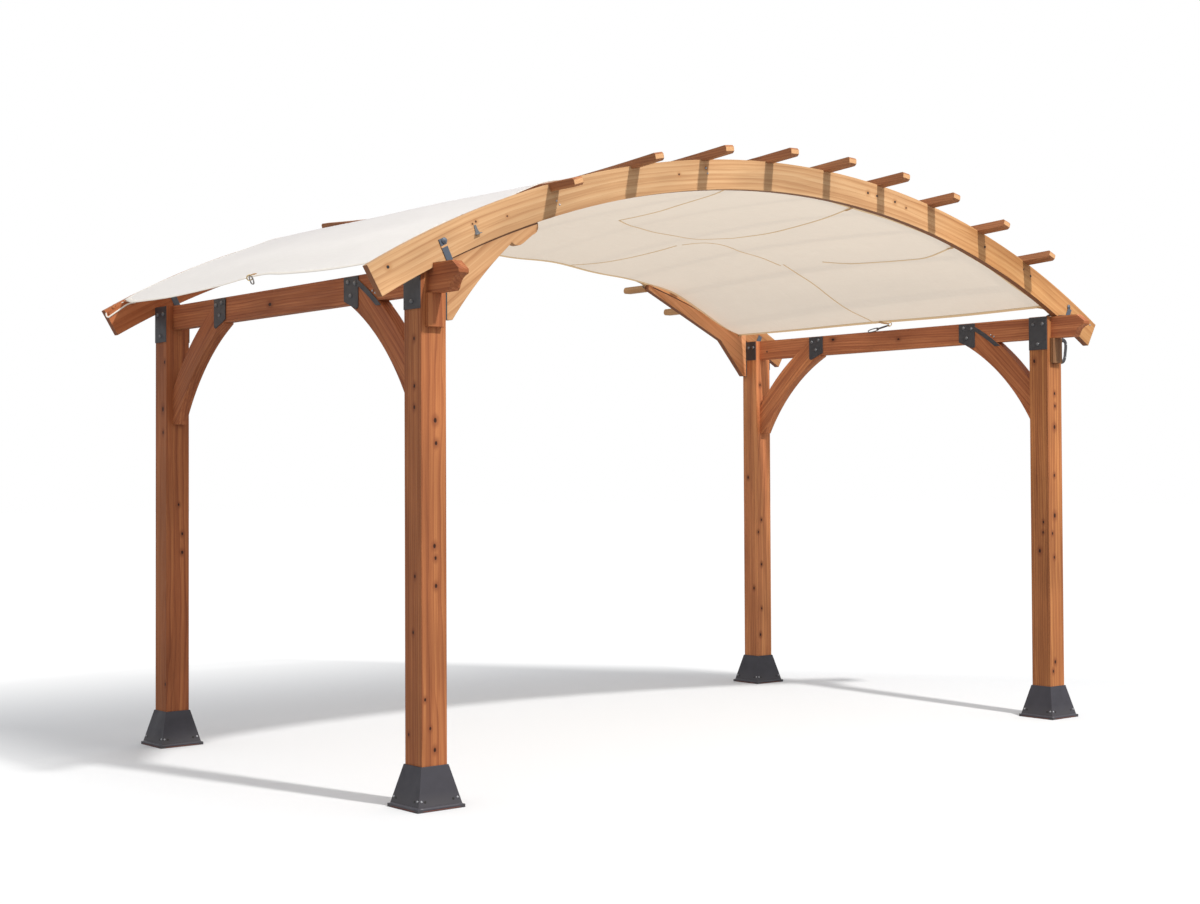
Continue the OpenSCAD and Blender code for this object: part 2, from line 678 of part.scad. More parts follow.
arch_tie_front_left();
arch_tie_back_left();
arch_tie_back_right();
arch_tie_front_right();
nose_cleat_left();
nose_cleat_right();
empty_purlin_bracket();
side_bracket_front_right();
canopy();
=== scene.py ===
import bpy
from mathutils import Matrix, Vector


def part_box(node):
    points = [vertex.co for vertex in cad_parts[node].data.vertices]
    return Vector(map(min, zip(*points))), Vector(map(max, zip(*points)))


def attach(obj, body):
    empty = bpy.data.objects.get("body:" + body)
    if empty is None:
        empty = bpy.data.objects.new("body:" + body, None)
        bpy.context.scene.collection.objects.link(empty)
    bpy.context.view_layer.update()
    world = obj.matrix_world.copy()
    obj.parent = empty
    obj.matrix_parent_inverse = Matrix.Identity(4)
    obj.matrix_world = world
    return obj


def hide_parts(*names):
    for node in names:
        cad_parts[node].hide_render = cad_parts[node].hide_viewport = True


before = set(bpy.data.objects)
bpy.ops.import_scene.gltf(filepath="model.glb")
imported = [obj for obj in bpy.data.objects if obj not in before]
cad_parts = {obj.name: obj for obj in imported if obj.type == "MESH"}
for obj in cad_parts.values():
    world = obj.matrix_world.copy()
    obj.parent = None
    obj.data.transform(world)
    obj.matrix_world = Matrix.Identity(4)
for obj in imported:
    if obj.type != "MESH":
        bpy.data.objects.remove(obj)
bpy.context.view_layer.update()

import math

import bpy
import numpy as np
from mathutils import Matrix, Vector

# sizes read off the frame, in metres
archOuter = 4.773  # radius of the arches' upper side
archInner = 4.632  # radius of their underside
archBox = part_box("arch_front")
archCentre = archBox[1].z - archOuter  # height of the point that the arches turn about
archFace = archBox[0].y
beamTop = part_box("beam_left")[1].z
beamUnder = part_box("beam_left")[0].z
halfWide = (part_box("beam_right")[0].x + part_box("beam_right")[1].x) / 2
halfDeep = (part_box("base_cover_back_left")[0].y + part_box("base_cover_back_left")[1].y) / 2
halfPost = (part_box("post_back_left")[1].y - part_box("post_back_left")[0].y) / 2
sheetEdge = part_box("canopy")[1].y
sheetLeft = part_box("canopy")[0].x
corners = [(-halfWide, -halfDeep), (-halfWide, halfDeep), (halfWide, halfDeep), (halfWide, -halfDeep)]

# the camera: place in metres, angles in degrees, lens and sensor in millimetres
camera = {"place": (-6.262, -7.528, 1.370), "turn": 40.23, "tilt": 1.21, "roll": -0.292,
          "data": {"lens": 54.39, "sensor_width": 36.0, "shift_x": -0.0367, "shift_y": -0.0128,
                   "clip_end": 200.0}}


def setAll(thing, settings):
    for key, value in settings.items():
        setattr(thing, key, value)
    return thing


def newObject(name, data):
    obj = bpy.data.objects.new(name, data)
    bpy.context.collection.objects.link(obj)
    return obj


# the camera looks to the back, turned to the right, then tilted up, then rolled
def makeCamera():
    obj = newObject("camera", setAll(bpy.data.cameras.new("camera"), camera["data"]))
    turn, tilt, roll = (math.radians(camera[key]) for key in ("turn", "tilt", "roll"))
    side = Vector((math.cos(turn), -math.sin(turn), 0))
    ahead = Vector((math.sin(turn), math.cos(turn), 0))
    up = Vector((0, 0, 1))
    look = ahead * math.cos(tilt) + up * math.sin(tilt)
    head = up * math.cos(tilt) - ahead * math.sin(tilt)
    right = side * math.cos(roll) + head * math.sin(roll)
    head = head * math.cos(roll) - side * math.sin(roll)
    place = Matrix((right, head, -look)).transposed().to_4x4()
    place.translation = Vector(camera["place"])
    obj.matrix_world = place
    bpy.context.scene.camera = obj


makeCamera()
print("camera made")


# short ways to add shader nodes; a value is a socket to link or a plain value, and None is skipped
def put(slot, value):
    if isinstance(value, bpy.types.NodeSocket):
        slot.id_data.links.new(value, slot)
    elif value is not None:
        slot.default_value = value


def fill(node, values):
    for key, value in values.items():
        put(node.inputs[key], value)
    return node


def add(tree, kind, *inputs, **settings):
    node = setAll(tree.nodes.new(kind), settings)
    for slot, value in zip(node.inputs, inputs):
        put(slot, value)
    return node


# the tree that the first socket among the values belongs to
def treeOf(*values):
    return next(value.id_data for value in values if isinstance(value, bpy.types.NodeSocket))


def join(kind, *inputs, **settings):
    return add(treeOf(*inputs), kind, *inputs, **settings)


def maths(operation, a, b=None, c=None):
    return join("ShaderNodeMath", a, b, c, operation=operation).outputs[0]


def times(a, b):
    return maths("MULTIPLY", a, b)


def vectors(operation, a, b=None):
    node = join("ShaderNodeVectorMath", a, b, operation=operation)
    return node.outputs[1] if operation in ("LENGTH", "DOT_PRODUCT") else node.outputs[0]


def separate(vector):
    return join("ShaderNodeSeparateXYZ", vector).outputs


def combine(x, y, z):
    return join("ShaderNodeCombineXYZ", x, y, z).outputs[0]


def objectPoint(tree):
    return add(tree, "ShaderNodeTexCoord").outputs["Object"]


def trueNormal(tree):
    return add(tree, "ShaderNodeNewGeometry").outputs["True Normal"]


# the value's share of the way from low to high, carried over to start and end
def spread(value, low, high, start=0.0, end=1.0, smooth=False):
    node = join("ShaderNodeMapRange", value, low, high, start, end)
    node.interpolation_type = "SMOOTHSTEP" if smooth else "LINEAR"
    return node.outputs[0]


# the same for noise, over the range that it mostly fills
def swing(value, start=0.0, end=1.0):
    return spread(value, 0.3, 0.7, start, end)


def noise(vector, scale, detail=2.0, rough=0.5):
    values = {"Scale": scale, "Detail": detail, "Roughness": rough}
    return fill(join("ShaderNodeTexNoise", vector), values).outputs


# noise of a point whose three parts are stretched first
def stretched(point, parts, scale=1.0, detail=2.0, rough=0.5):
    return noise(vectors("MULTIPLY", point, parts), scale, detail, rough)["Fac"]


def blend(share, first, second, kind="MIX"):
    node = add(treeOf(share, first), "ShaderNodeMix", data_type="RGBA", blend_type=kind)
    return fill(node, {"Factor": share, "A": first, "B": second}).outputs["Result"]


def coat(share, colour, over):
    return blend(share, colour, (*over, 1))


def dye(colour, tint):
    return blend(1.0, colour, tint, "MULTIPLY")


def ramp(value, stops):
    node = join("ShaderNodeValToRGB", value)
    band = node.color_ramp
    for place, colour in stops[1:-1]:
        band.elements.new(place).color = (*colour, 1)
    for i in (0, -1):
        band.elements[i].position = stops[i][0]
        band.elements[i].color = (*stops[i][1], 1)
    return node.outputs[0]


def bump(strength, distance, height, normal=None):
    values = {"Strength": strength, "Distance": distance, "Height": height, "Normal": normal}
    return fill(add(height.id_data, "ShaderNodeBump"), values).outputs[0]


# lets that share of a material's surface be another shader's
def mixSurface(share, shader, other):
    mixed = join("ShaderNodeMixShader", share, shader.outputs[0], other.outputs[0])
    put(shader.id_data.nodes["Material Output"].inputs["Surface"], mixed.outputs[0])


def newMaterial(name):
    mat = bpy.data.materials.new(name)
    mat.use_nodes = True
    return mat, mat.node_tree, mat.node_tree.nodes["Principled BSDF"]


# an empty shader group; takes is {input: default value}, gives is {output: kind}
def newGroup(name, takes, gives):
    tree = bpy.data.node_groups.new(name, "ShaderNodeTree")
    for key, default in takes.items():
        kind = "NodeSocketVector" if isinstance(default, tuple) else "NodeSocketFloat"
        tree.interface.new_socket(key, in_out="INPUT", socket_type=kind).default_value = default
    for key, kind in gives.items():
        tree.interface.new_socket(key, in_out="OUTPUT", socket_type="NodeSocket" + kind)
    return tree, tree.nodes.new("NodeGroupInput").outputs, tree.nodes.new("NodeGroupOutput")


def use(tree, group, **values):
    node = tree.nodes.new("ShaderNodeGroup")
    node.node_tree = group
    return fill(node, values).outputs


# grain of sawn softwood; Grain is a point with X along the fibres, in metres
def timberGroup():
    tree, given, out = newGroup("timberGrain", {"Grain": (0, 0, 0), "Seed": 0.0, "Ring": 0.014},
                                {"Tone": "Float", "Fibre": "Float", "Patch": "Float", "Relief": "Float"})
    shift = add(tree, "ShaderNodeVectorMath", (7.31, 3.17, 5.71), operation="SCALE")
    put(shift.inputs["Scale"], given["Seed"])
    point = vectors("ADD", given["Grain"], shift.outputs[0])
    slow = noise(vectors("MULTIPLY", point, (0.8, 5.0, 5.0)), 1.0, 3.0)["Color"]
    drift = vectors("MULTIPLY", vectors("SUBTRACT", slow, (0.5, 0.5, 0.5)), (0.0, 0.055, 0.055))
    bent = vectors("ADD", point, drift)
    # growth rings: the distance from a pith that lies beside the board, cut into steps of Ring
    across = vectors("MULTIPLY", vectors("ADD", bent, (0.0, 0.11, 0.06)), (0, 1, 1))
    turns = maths("DIVIDE", vectors("LENGTH", across), given["Ring"])
    late = maths("POWER", maths("FRACT", turns), 2.2)
    broad = stretched(bent, (0.55, 30.0, 30.0), 1.0, 3.0, 0.6)
    fibre = stretched(bent, (3.0, 170.0, 170.0), 1.0, 4.0, 0.62)
    patch = stretched(point, (1.6, 4.0, 4.0))
    tone = maths("MULTIPLY_ADD", late, 0.30, times(spread(broad, 0.32, 0.68), 0.45))
    tone = maths("MULTIPLY_ADD", swing(fibre), 0.25, tone)
    relief = maths("MULTIPLY_ADD", late, -0.4, fibre)
    fill(out, {"Tone": tone, "Fibre": fibre, "Patch": patch, "Relief": relief})
    return tree


# one knot or hole: Core is its dark middle, Halo the stained timber round it
def spotGroup():
    tree, given, out = newGroup("timberSpot", {"Point": (0, 0, 0), "Place": (0, 0, 0), "Squeeze": (1, 1, 1),
                                               "Size": 0.008, "Core": 0.0, "Halo": 0.0},
                                {"Core": "Float", "Halo": "Float"})
    away = vectors("SUBTRACT", given["Point"], given["Place"])
    away = vectors("MULTIPLY", away, given["Squeeze"])
    far = maths("DIVIDE", vectors("LENGTH", away), given["Size"])
    core = spread(far, 1.05, 0.6, smooth=True)
    halo = spread(far, 3.4, 0.8, smooth=True)
    fill(out, {"Core": maths("MAXIMUM", core, given["Core"]),
               "Halo": maths("MAXIMUM", halo, given["Halo"])})
    return tree


# rounded arrises: a softened normal, and a mask of where it leaves the true one
def edgeGroup():
    tree, given, out = newGroup("softEdge", {"Radius": 0.003}, {"Normal": "Vector", "Edge": "Float"})
    normal = add(tree, "ShaderNodeBevel", given["Radius"], samples=4).outputs[0]
    lean = vectors("DOT_PRODUCT", normal, trueNormal(tree))
    fill(out, {"Normal": normal, "Edge": spread(lean, 0.995, 0.86, smooth=True)})
    return tree


# a point as (way round the arch, radius, Y); the way is the angle times the arch's radius
def polarGroup():
    tree, given, out = newGroup("roundArch", {"Point": (0, 0, 0)}, {"Grain": "Vector"})
    part = separate(given["Point"])
    high = maths("SUBTRACT", part["Z"], archCentre)
    way = times(maths("ARCTAN2", part["X"], high), archOuter)
    radius = vectors("LENGTH", combine(part["X"], high, 0.0))
    fill(out, {"Grain": combine(way, radius, part["Y"])})
    return tree


timberGrain, timberSpot, softEdge, roundArch = timberGroup(), spotGroup(), edgeGroup(), polarGroup()
print("shader groups made")

# timber finishes: colours of the grain, the knots and the cut ends, ring width in metres, roughness
stained = {"light": (0.48, 0.178, 0.067), "middle": (0.350, 0.113, 0.043), "dark": (0.208, 0.058, 0.024),
           "knot": (0.045, 0.015, 0.009), "cut": ((0.350, 0.113, 0.043), (0.208, 0.058, 0.024)),
           "ring": 0.013, "rough": 0.60}
golden = {"light": (0.70, 0.43, 0.215), "middle": (0.60, 0.335, 0.155), "dark": (0.43, 0.205, 0.085),
          "knot": (0.090, 0.040, 0.022), "ring": 0.016, "rough": 0.52}
amber = {"light": (0.50, 0.225, 0.100), "middle": (0.385, 0.155, 0.068), "dark": (0.250, 0.088, 0.040),
         "knot": (0.070, 0.028, 0.016), "cut": ((0.78, 0.47, 0.235), (0.50, 0.24, 0.11)),
         "ring": 0.011, "rough": 0.56}
# distances squeezed along the fibres, so that a spot is long that way
alongY, alongZ = (1, 0.6, 1), (1, 1, 0.68)


def aroundArch(point):
    return use(point.id_data, roundArch, Point=point)["Grain"]


# the point turned so that X runs along the fibres; way is y, z, arch, or (X or Y, the slope in degrees)
def grainAlong(point, way):
    if way == "arch":
        return aroundArch(point)
    part = separate(point)
    if way in ("y", "z"):
        order = {"y": "YXZ", "z": "ZXY"}[way]
        return combine(*(part[letter] for letter in order))
    plane, angle = way
    other = "X" if plane == "Y" else "Y"
    c, s = math.cos(math.radians(angle)), math.sin(math.radians(angle))
    run = maths("MULTIPLY_ADD", part[plane], c, times(part["Z"], s))
    rise = maths("MULTIPLY_ADD", part["Z"], c, times(part[plane], -s))
    return combine(run, rise, part[other])


# a timber finish; spots are (place, size), ends is the axis whose faces show end grain, tone tints it and on
# some pieces paints light or shade, fade is (from X, to X, tint, tint) along the piece as painted shade, rim
# is the colour of faces that look neither front nor up, part stain and part painted shade, under is the
# radius about the arches' centre past which shade is painted
def timber(name, finish, way, seed, spots=(), squeeze=(1, 1, 1), arris=0.0035, ends=None, tone=(1, 1, 1),
           fade=None, rim=None, under=None):
    mat, tree, shader = newMaterial(name)
    point = objectPoint(tree)
    grain = use(tree, timberGrain, Grain=grainAlong(point, way), Seed=seed, Ring=finish["ring"])
    edge = use(tree, softEdge, Radius=arris)
    stops = [(0.12, finish["light"]), (0.45, finish["middle"]), (0.88, finish["dark"])]
    wash = swing(grain["Patch"], 0.84, 1.16)
    tint = add(tree, "ShaderNodeCombineColor", *(times(wash, part) for part in tone)).outputs[0]
    colour = dye(ramp(grain["Tone"], stops), tint)
    # painted shade along X: darker over the front arch's right part and the back arch's left part
    if fade is not None:
        start, stop, first, last = fade
        share = spread(separate(point)["X"], start, stop, smooth=True)
        colour = dye(colour, blend(share, (*first, 1), (*last, 1)))
    core = halo = None
    for place, size in spots:
        found = use(tree, timberSpot, Point=point, Place=place, Squeeze=squeeze, Size=size,
                    Core=core, Halo=halo)
        core, halo = found["Core"], found["Halo"]
    if spots:
        colour = coat(times(halo, 0.62), colour, finish["dark"])
        colour = coat(core, colour, finish["knot"])
    if ends is not None:
        cut = spread(maths("ABSOLUTE", separate(trueNormal(tree))[ends]), 0.80, 0.95)
        pores = fill(add(tree, "ShaderNodeTexVoronoi", feature="F1"), {"Vector": point, "Scale": 420.0})
        stops = [(0.1, finish["cut"][1]), (0.55, finish["cut"][0])]
        porous = ramp(pores.outputs["Distance"], stops)
        colour = blend(times(cut, 0.75), colour, porous)
    # the rim colour is partly the darker stain of undersides and ends and partly painted shade on faces that
    # look down or sideways
    if rim is not None:
        facing = separate(trueNormal(tree))
        side = spread(maths("ABSOLUTE", facing["Y"]), 0.6, 0.4)
        down = spread(facing["Z"], 0.35, 0.15)
        colour = coat(times(times(side, down), 0.85), colour, rim)
    colour = coat(times(edge["Edge"], 0.45), colour, finish["light"])
    # painted shade: the timber darkens past the radius under, as shade where the brace meets the arch's
    # underside
    if under is not None:
        paintedShade = spread(separate(aroundArch(point))["Y"], under - 0.003, under)
        colour = coat(paintedShade, colour, finish["knot"])
    height = grain["Relief"]
    if spots:
        height = maths("MULTIPLY_ADD", core, -3.0, height)
    rough = finish["rough"]
    fill(shader, {"Base Color": colour, "Specular IOR Level": 0.22,
                  "Roughness": swing(grain["Fibre"], rough - 0.08, rough + 0.12),
                  "Normal": bump(0.5, 0.0012, height, edge["Normal"])})
    return mat


# knots and plugged screw holes down the posts: (distance across the face's middle, height, size)
postSpots = {
    "front_left": {
        "front": [(0.008, 1.60, 0.0105), (0.012, 1.505, 0.009), (0.003, 1.08, 0.0095),
                  (0.008, 1.03, 0.008), (0.010, 0.915, 0.009), (0.002, 0.24, 0.009),
                  (-0.02, 0.33, 0.007), (-0.045, 0.45, 0.007)],
        "side": [(-0.012, 1.94, 0.008), (-0.013, 1.743, 0.0085), (-0.012, 1.655, 0.0085),
                 (-0.014, 0.956, 0.008), (0.0, 0.724, 0.008), (0.035, 0.30, 0.007)],
    },
    "back_left": {
        "front": [(0.042, 1.975, 0.010), (0.016, 1.646, 0.008), (0.025, 1.08, 0.008),
                  (0.025, 0.985, 0.009), (0.005, 1.23, 0.007)],
        "side": [(-0.042, 1.96, 0.009), (-0.022, 1.72, 0.013), (-0.024, 1.60, 0.009),
                 (-0.086, 0.56, 0.010), (-0.05, 0.315, 0.008)],
    },
    "back_right": {
        "front": [(-0.092, 0.317, 0.010), (-0.036, 0.315, 0.010), (-0.022, 0.777, 0.009),
                  (-0.05, 0.99, 0.008), (-0.026, 1.96, 0.009), (-0.022, 1.07, 0.008),
                  (-0.024, 0.487, 0.008)],
        "side": [(0.02, 1.35, 0.009), (-0.03, 0.62, 0.009)],
    },
    "front_right": {
        "front": [(-0.009, 1.13, 0.013), (-0.003, 1.627, 0.012), (-0.011, 1.993, 0.010),
                  (-0.017, 0.311, 0.010), (-0.035, 0.26, 0.009), (0.0, 1.815, 0.009),
                  (-0.009, 1.355, 0.009), (-0.016, 0.896, 0.009), (0.003, 1.745, 0.009),
                  (-0.03, 1.03, 0.008)],
        "side": [(0.029, 2.0, 0.011), (0.003, 0.932, 0.011), (-0.021, 1.036, 0.008),
                 (-0.024, 1.094, 0.008)],
    },
}
spotShare = 0.8  # part of its listed size at which a spot is drawn
# tints of the posts; the right-hand posts' higher tints, the back right one's most, are painted light
postToneAndLight = {"front_left": (1.03, 1.09, 1.08), "back_left": (0.95, 0.95, 0.95),
            "back_right": (1.68, 1.98, 2.10), "front_right": (1.22, 1.40, 1.32)}


def postFinish(corner, seed):
    x = -halfWide if "left" in corner else halfWide
    y = -halfDeep if "front" in corner else halfDeep
    faces = postSpots[corner]
    spots = [((x + off, y - halfPost, z), spotShare * size) for off, z, size in faces["front"]]
    spots += [((x - halfPost, y + off, z), spotShare * size) for off, z, size in faces["side"]]
    return timber("stained_post_" + corner, stained, "z", seed, spots, alongZ, ends="Z",
                  tone=postToneAndLight[corner])


# beams: the X of the left face, its tone, and its spots as (Y, height, size); the right beam's higher tone
# is painted light
beams = {
    "beam_left": {"face": -halfWide - 0.025, "tone": (1.02, 1.04, 1.12),
                  "spots": [(0.10, 2.18, 0.010), (-0.62, 2.20, 0.007), (0.62, 2.16, 0.008)]},
    "beam_right": {"face": halfWide - 0.025, "tone": (1.28, 1.34, 1.50),
                   "spots": [(0.62, 2.22, 0.011), (0.45, 2.22, 0.009), (-0.1, 2.19, 0.007)]},
}
# knee braces: slope in degrees, seed, tone; the right-hand braces' higher tones are painted light
knees = {"front_left": (44, 21.4, (1, 1, 1.05)), "back_left": (-40, 23.4, (1, 1, 1.05)),
         "back_right": (-40, 26.4, (1.54, 1.68, 1.80)), "front_right": (44, 28.4, (1.22, 1.24, 1.30))}
# arches and their braces: the fades from left to right, painted shade; the rims' colour, part stain and part
# painted shade; the radius past which the front brace's top gets painted shade
arches = {"arch_front": (0.6, 1.6, (0.94, 0.97, 1.04), (0.83, 0.73, 0.61)),
          "arch_back": (-1.4, 1.6, (0.60, 0.34, 0.27), (0.85, 0.68, 0.58)),
          "rim": (0.235, 0.082, 0.038), "under": archInner - 0.009}
# screw holes and marks on the front arch: (angle in degrees, radius, size)
archMarks = [(-29.49, 4.723, 0.0085), (-23.84, 4.7245, 0.005), (-23.60, 4.728, 0.0058),
             (-21.6, 4.70, 0.005), (6.34, 4.716, 0.008), (7.16, 4.715, 0.007), (8.82, 4.716, 0.008),
             (9.88, 4.707, 0.006), (17.81, 4.710, 0.009), (22.82, 4.723, 0.008), (21.99, 4.730, 0.006),
             (-9.2, 4.71, 0.006), (-7.11, 4.733, 0.008)]


def onArch(angle, radius, y):
    turn = math.radians(angle)
    return (radius * math.sin(turn), y, archCentre + radius * math.cos(turn))


def assign(node, material):
    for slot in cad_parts[node].material_slots:
        slot.material = material


def dressTimber():
    for i, corner in enumerate(postSpots):
        assign("post_" + corner, postFinish(corner, 1.7 + i * 2.3))
    for i, (node, beam) in enumerate(beams.items()):
        spots = [((beam["face"], y, z), size) for y, z, size in beam["spots"]]
        assign(node, timber("stained_" + node, stained, "y", 11.3 + i * 3.1, spots, alongY, 0.006, "Y",
                            beam["tone"]))
    for corner, (angle, seed, tone) in knees.items():
        node = "knee_brace_" + corner
        assign(node, timber("stained_" + node, stained, ("Y", angle), seed, arris=0.004, tone=tone))
    assign("nose_cleat_left", timber("stained_cleat_left", stained, "z", 31.0))
    assign("nose_cleat_right", timber("stained_cleat_right", stained, "z", 32.0, tone=(0.70, 1.05, 1.30)))
    marks = [(onArch(angle, radius, archFace), size) for angle, radius, size in archMarks]
    for node, seed, spots in (("arch_front", 3.3, marks), ("arch_back", 8.6, ())):
        assign(node, timber("golden_" + node, golden, "arch", seed, spots, fade=arches[node],
                            rim=arches["rim"]))
    for i in range(2, 11):
        assign(f"purlin_{i}", timber(f"amber_purlin_{i}", amber, "y", 40.0 + i * 1.37, ends="Y"))
    # the front brace's darker tone is painted shade, dimming the lamp's light on it
    assign("arch_brace_front_left", timber("golden_brace_front", golden, ("X", 38), 61.0,
                                           tone=(0.88, 0.86, 0.89), under=arches["under"]))
    assign("arch_brace_back_right", timber("golden_brace_back", golden, ("X", -33), 63.0,
                                           tone=(1.12, 0.90, 0.88), rim=arches["rim"]))
    assign("tie_pegs", timber("golden_pegs", golden, "y", 66.0))


dressTimber()
print("timber dressed")

dustColour = (0.22, 0.20, 0.18)
dustTop = 0.075  # height that dust reaches, in metres


# powder-coated or bare steel: fine orange peel, rubbed edges and a little dust low down; gap is a narrow
# band of bare timber between two radii about the arches' centre
def steel(name, colour, rough, arris=0.002, metal=0.0, dust=0.0, gap=None):
    mat, tree, shader = newMaterial(name)
    point = objectPoint(tree)
    edge = use(tree, softEdge, Radius=arris)
    peel = noise(point, 900.0)["Fac"]
    patch = noise(point, 14.0, 4.0, 0.6)["Fac"]
    dark = tuple(0.86 * part for part in colour)
    shade = blend(spread(patch, 0.35, 0.65), (*colour, 1), (*dark, 1))
    pale = tuple(min(1.0, 2.1 * part + 0.02) for part in colour)
    worn = times(edge["Edge"], spread(patch, 0.35, 0.7, 0.25, 0.85))
    shade = coat(worn, shade, pale)
    if dust:
        low = spread(separate(point)["Z"], dustTop, 0.0)
        low = times(low, swing(patch, 0.3, 1.0))
        shade = coat(times(low, dust), shade, dustColour)
    if gap:
        radius = separate(aroundArch(point))["Y"]
        above, below = maths("GREATER_THAN", radius, gap[0]), maths("LESS_THAN", radius, gap[1])
        shade = coat(times(above, below), shade, golden["middle"])
    fill(shader, {"Base Color": shade, "Metallic": metal,
                  "Roughness": swing(patch, rough - 0.07, rough + 0.08),
                  "Normal": bump(0.25, 0.0004, peel, edge["Normal"])})
    return mat


charcoal = steel("charcoal_coat", (0.050, 0.050, 0.058), 0.52)
coverCoat = steel("charcoal_cover", (0.041, 0.039, 0.052), 0.50, 0.003, dust=0.20)
beadCoat = steel("charcoal_bead", (0.060, 0.058, 0.074), 0.42, 0.003)
soleWood = steel("stained_sole", (0.16, 0.045, 0.030), 0.60)
strapSteel = steel("blue_grey_strap", (0.085, 0.105, 0.140), 0.42)
bracketSteel = steel("grey_bracket", (0.155, 0.160, 0.170), 0.45)
splitStrap = steel("blue_grey_split_strap", (0.085, 0.105, 0.140), 0.42, gap=(4.6865, 4.6945))
boltDark = steel("bolt_dark", (0.17, 0.175, 0.19), 0.40, 0.001, 0.5)
boltSteel = steel("bolt_zinc", (0.40, 0.41, 0.44), 0.38, 0.001, 0.85)
screwBlack = steel("screw_black", (0.030, 0.028, 0.028), 0.45, 0.0008, 0.4)
brass = steel("eyelet_brass", (0.62, 0.43, 0.16), 0.34, 0.0008, 0.9)


def dressSteel():
    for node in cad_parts:
        if node.startswith("base_cover"):
            assign(node, coverCoat)
        elif node.startswith(("corner_plates", "knee_plates", "side_bracket")):
            assign(node, charcoal)
        elif node.startswith("arch_tie"):
            assign(node, splitStrap if node.endswith("front_left") else strapSteel)
        elif node.startswith("empty_purlin"):
            assign(node, bracketSteel)


dressSteel()
print("steel dressed")


# new pieces are grids of points; these are a grid's quads, its first point having the number start
def gridFaces(rows, columns, wrapRows, wrapColumns, start):
    i = np.arange(rows if wrapRows else rows - 1)[:, None]
    j = np.arange(columns if wrapColumns else columns - 1)[None, :]
    a, b = i * columns + j, i * columns + (j + 1) % columns
    c, d = (i + 1) % rows * columns + (j + 1) % columns, (i + 1) % rows * columns + j
    return np.stack([a, b, c, d], -1).reshape(-1, 4) + start


# one mesh of several grids; each is (points of rows x columns x 3, rows wrap, columns wrap)
def makePiece(name, grids, material):
    points, faces, start = [], [], 0
    for grid, wrapRows, wrapColumns in grids:
        points.append(grid.reshape(-1, 3))
        faces.append(gridFaces(grid.shape[0], grid.shape[1], wrapRows, wrapColumns, start))
        start += len(points[-1])
    points, faces = np.concatenate(points), np.concatenate(faces)
    mesh = bpy.data.meshes.new(name)
    mesh.from_pydata(points.tolist(), [], faces.tolist())
    mesh.polygons.foreach_set("use_smooth", np.ones(len(faces), bool))
    mesh.materials.append(material)
    mesh.update()
    obj = newObject(name, mesh)
    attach(obj, "root")
    return obj


def unit(v):
    return v / np.maximum(np.linalg.norm(v, axis=-1, keepdims=True), 1e-12)


# surfaces of revolution: profile rows are (radius, height); one for each place, along its axis, and a
# point is the place + radius times a direction round the axis + height times the axis
def turned(profile, places, axes, sides):
    places, axes = np.asarray(places, float), unit(np.asarray(axes, float))
    seed = np.where(np.abs(axes[:, 2:3]) > 0.9, [[1.0, 0, 0]], [[0, 0, 1.0]])
    right = unit(np.cross(seed, axes))
    front = np.cross(axes, right)
    angle = np.linspace(0, 2 * np.pi, sides, endpoint=False)
    ring = right[:, None] * np.cos(angle)[None, :, None] + front[:, None] * np.sin(angle)[None, :, None]
    radius, height = np.asarray(profile, float).T
    grid = (places[:, None, None] + ring[:, None] * radius[None, :, None, None]
            + axes[:, None, None] * height[None, :, None, None])
    return [(g, False, True) for g in grid]


# a tube round a path, its section an ellipse: path + radius times (side cos + head flat sin); an open
# tube closes with a small ring at each end
def tube(path, radius, sides=10, wrap=False, upward=(0.0, 0.0, 1.0), flat=1.0):
    path = np.asarray(path, float)
    ahead = unit(np.roll(path, -1, 0) - np.roll(path, 1, 0)) if wrap else unit(np.gradient(path, axis=0))
    side = unit(np.cross(ahead, np.broadcast_to(upward, path.shape)))
    head = np.cross(side, ahead)
    angle = np.linspace(0, 2 * np.pi, sides, endpoint=False)
    ring = (side[:, None] * (radius * np.cos(angle))[None, :, None]
            + head[:, None] * (radius * flat * np.sin(angle))[None, :, None])
    grid = path[:, None] + ring
    if not wrap:
        grid = np.concatenate([path[:1, None] + ring[:1] * 0.02, grid, path[-1:, None] + ring[-1:] * 0.02])
    return (grid, wrap, True)


# a cubic line through values at stations, its slopes taken from the neighbours
def smoothLine(stations, values, at):
    stations, values = np.asarray(stations, float), np.asarray(values, float)
    slopes = np.gradient(values, stations)
    i = np.clip(np.searchsorted(stations, at) - 1, 0, len(stations) - 2)
    step = stations[i + 1] - stations[i]
    t = np.clip((at - stations[i]) / step, 0, 1)
    return ((2 * t**3 - 3 * t**2 + 1) * values[i] + (t**3 - 2 * t**2 + t) * step * slopes[i]
            + (3 * t**2 - 2 * t**3) * values[i + 1] + (t**3 - t**2) * step * slopes[i + 1])


# n points on a smooth line through stops
def smoothPath(stops, n):
    stops = np.asarray(stops, float)
    at, run = np.arange(len(stops)), np.linspace(0, len(stops) - 1, n)
    return np.stack([smoothLine(at, column, run) for column in stops.T], -1)


# the way along a path at each of its points
def runAlong(path):
    return np.concatenate([[0], np.cumsum(np.linalg.norm(np.diff(path, axis=0), axis=1))])


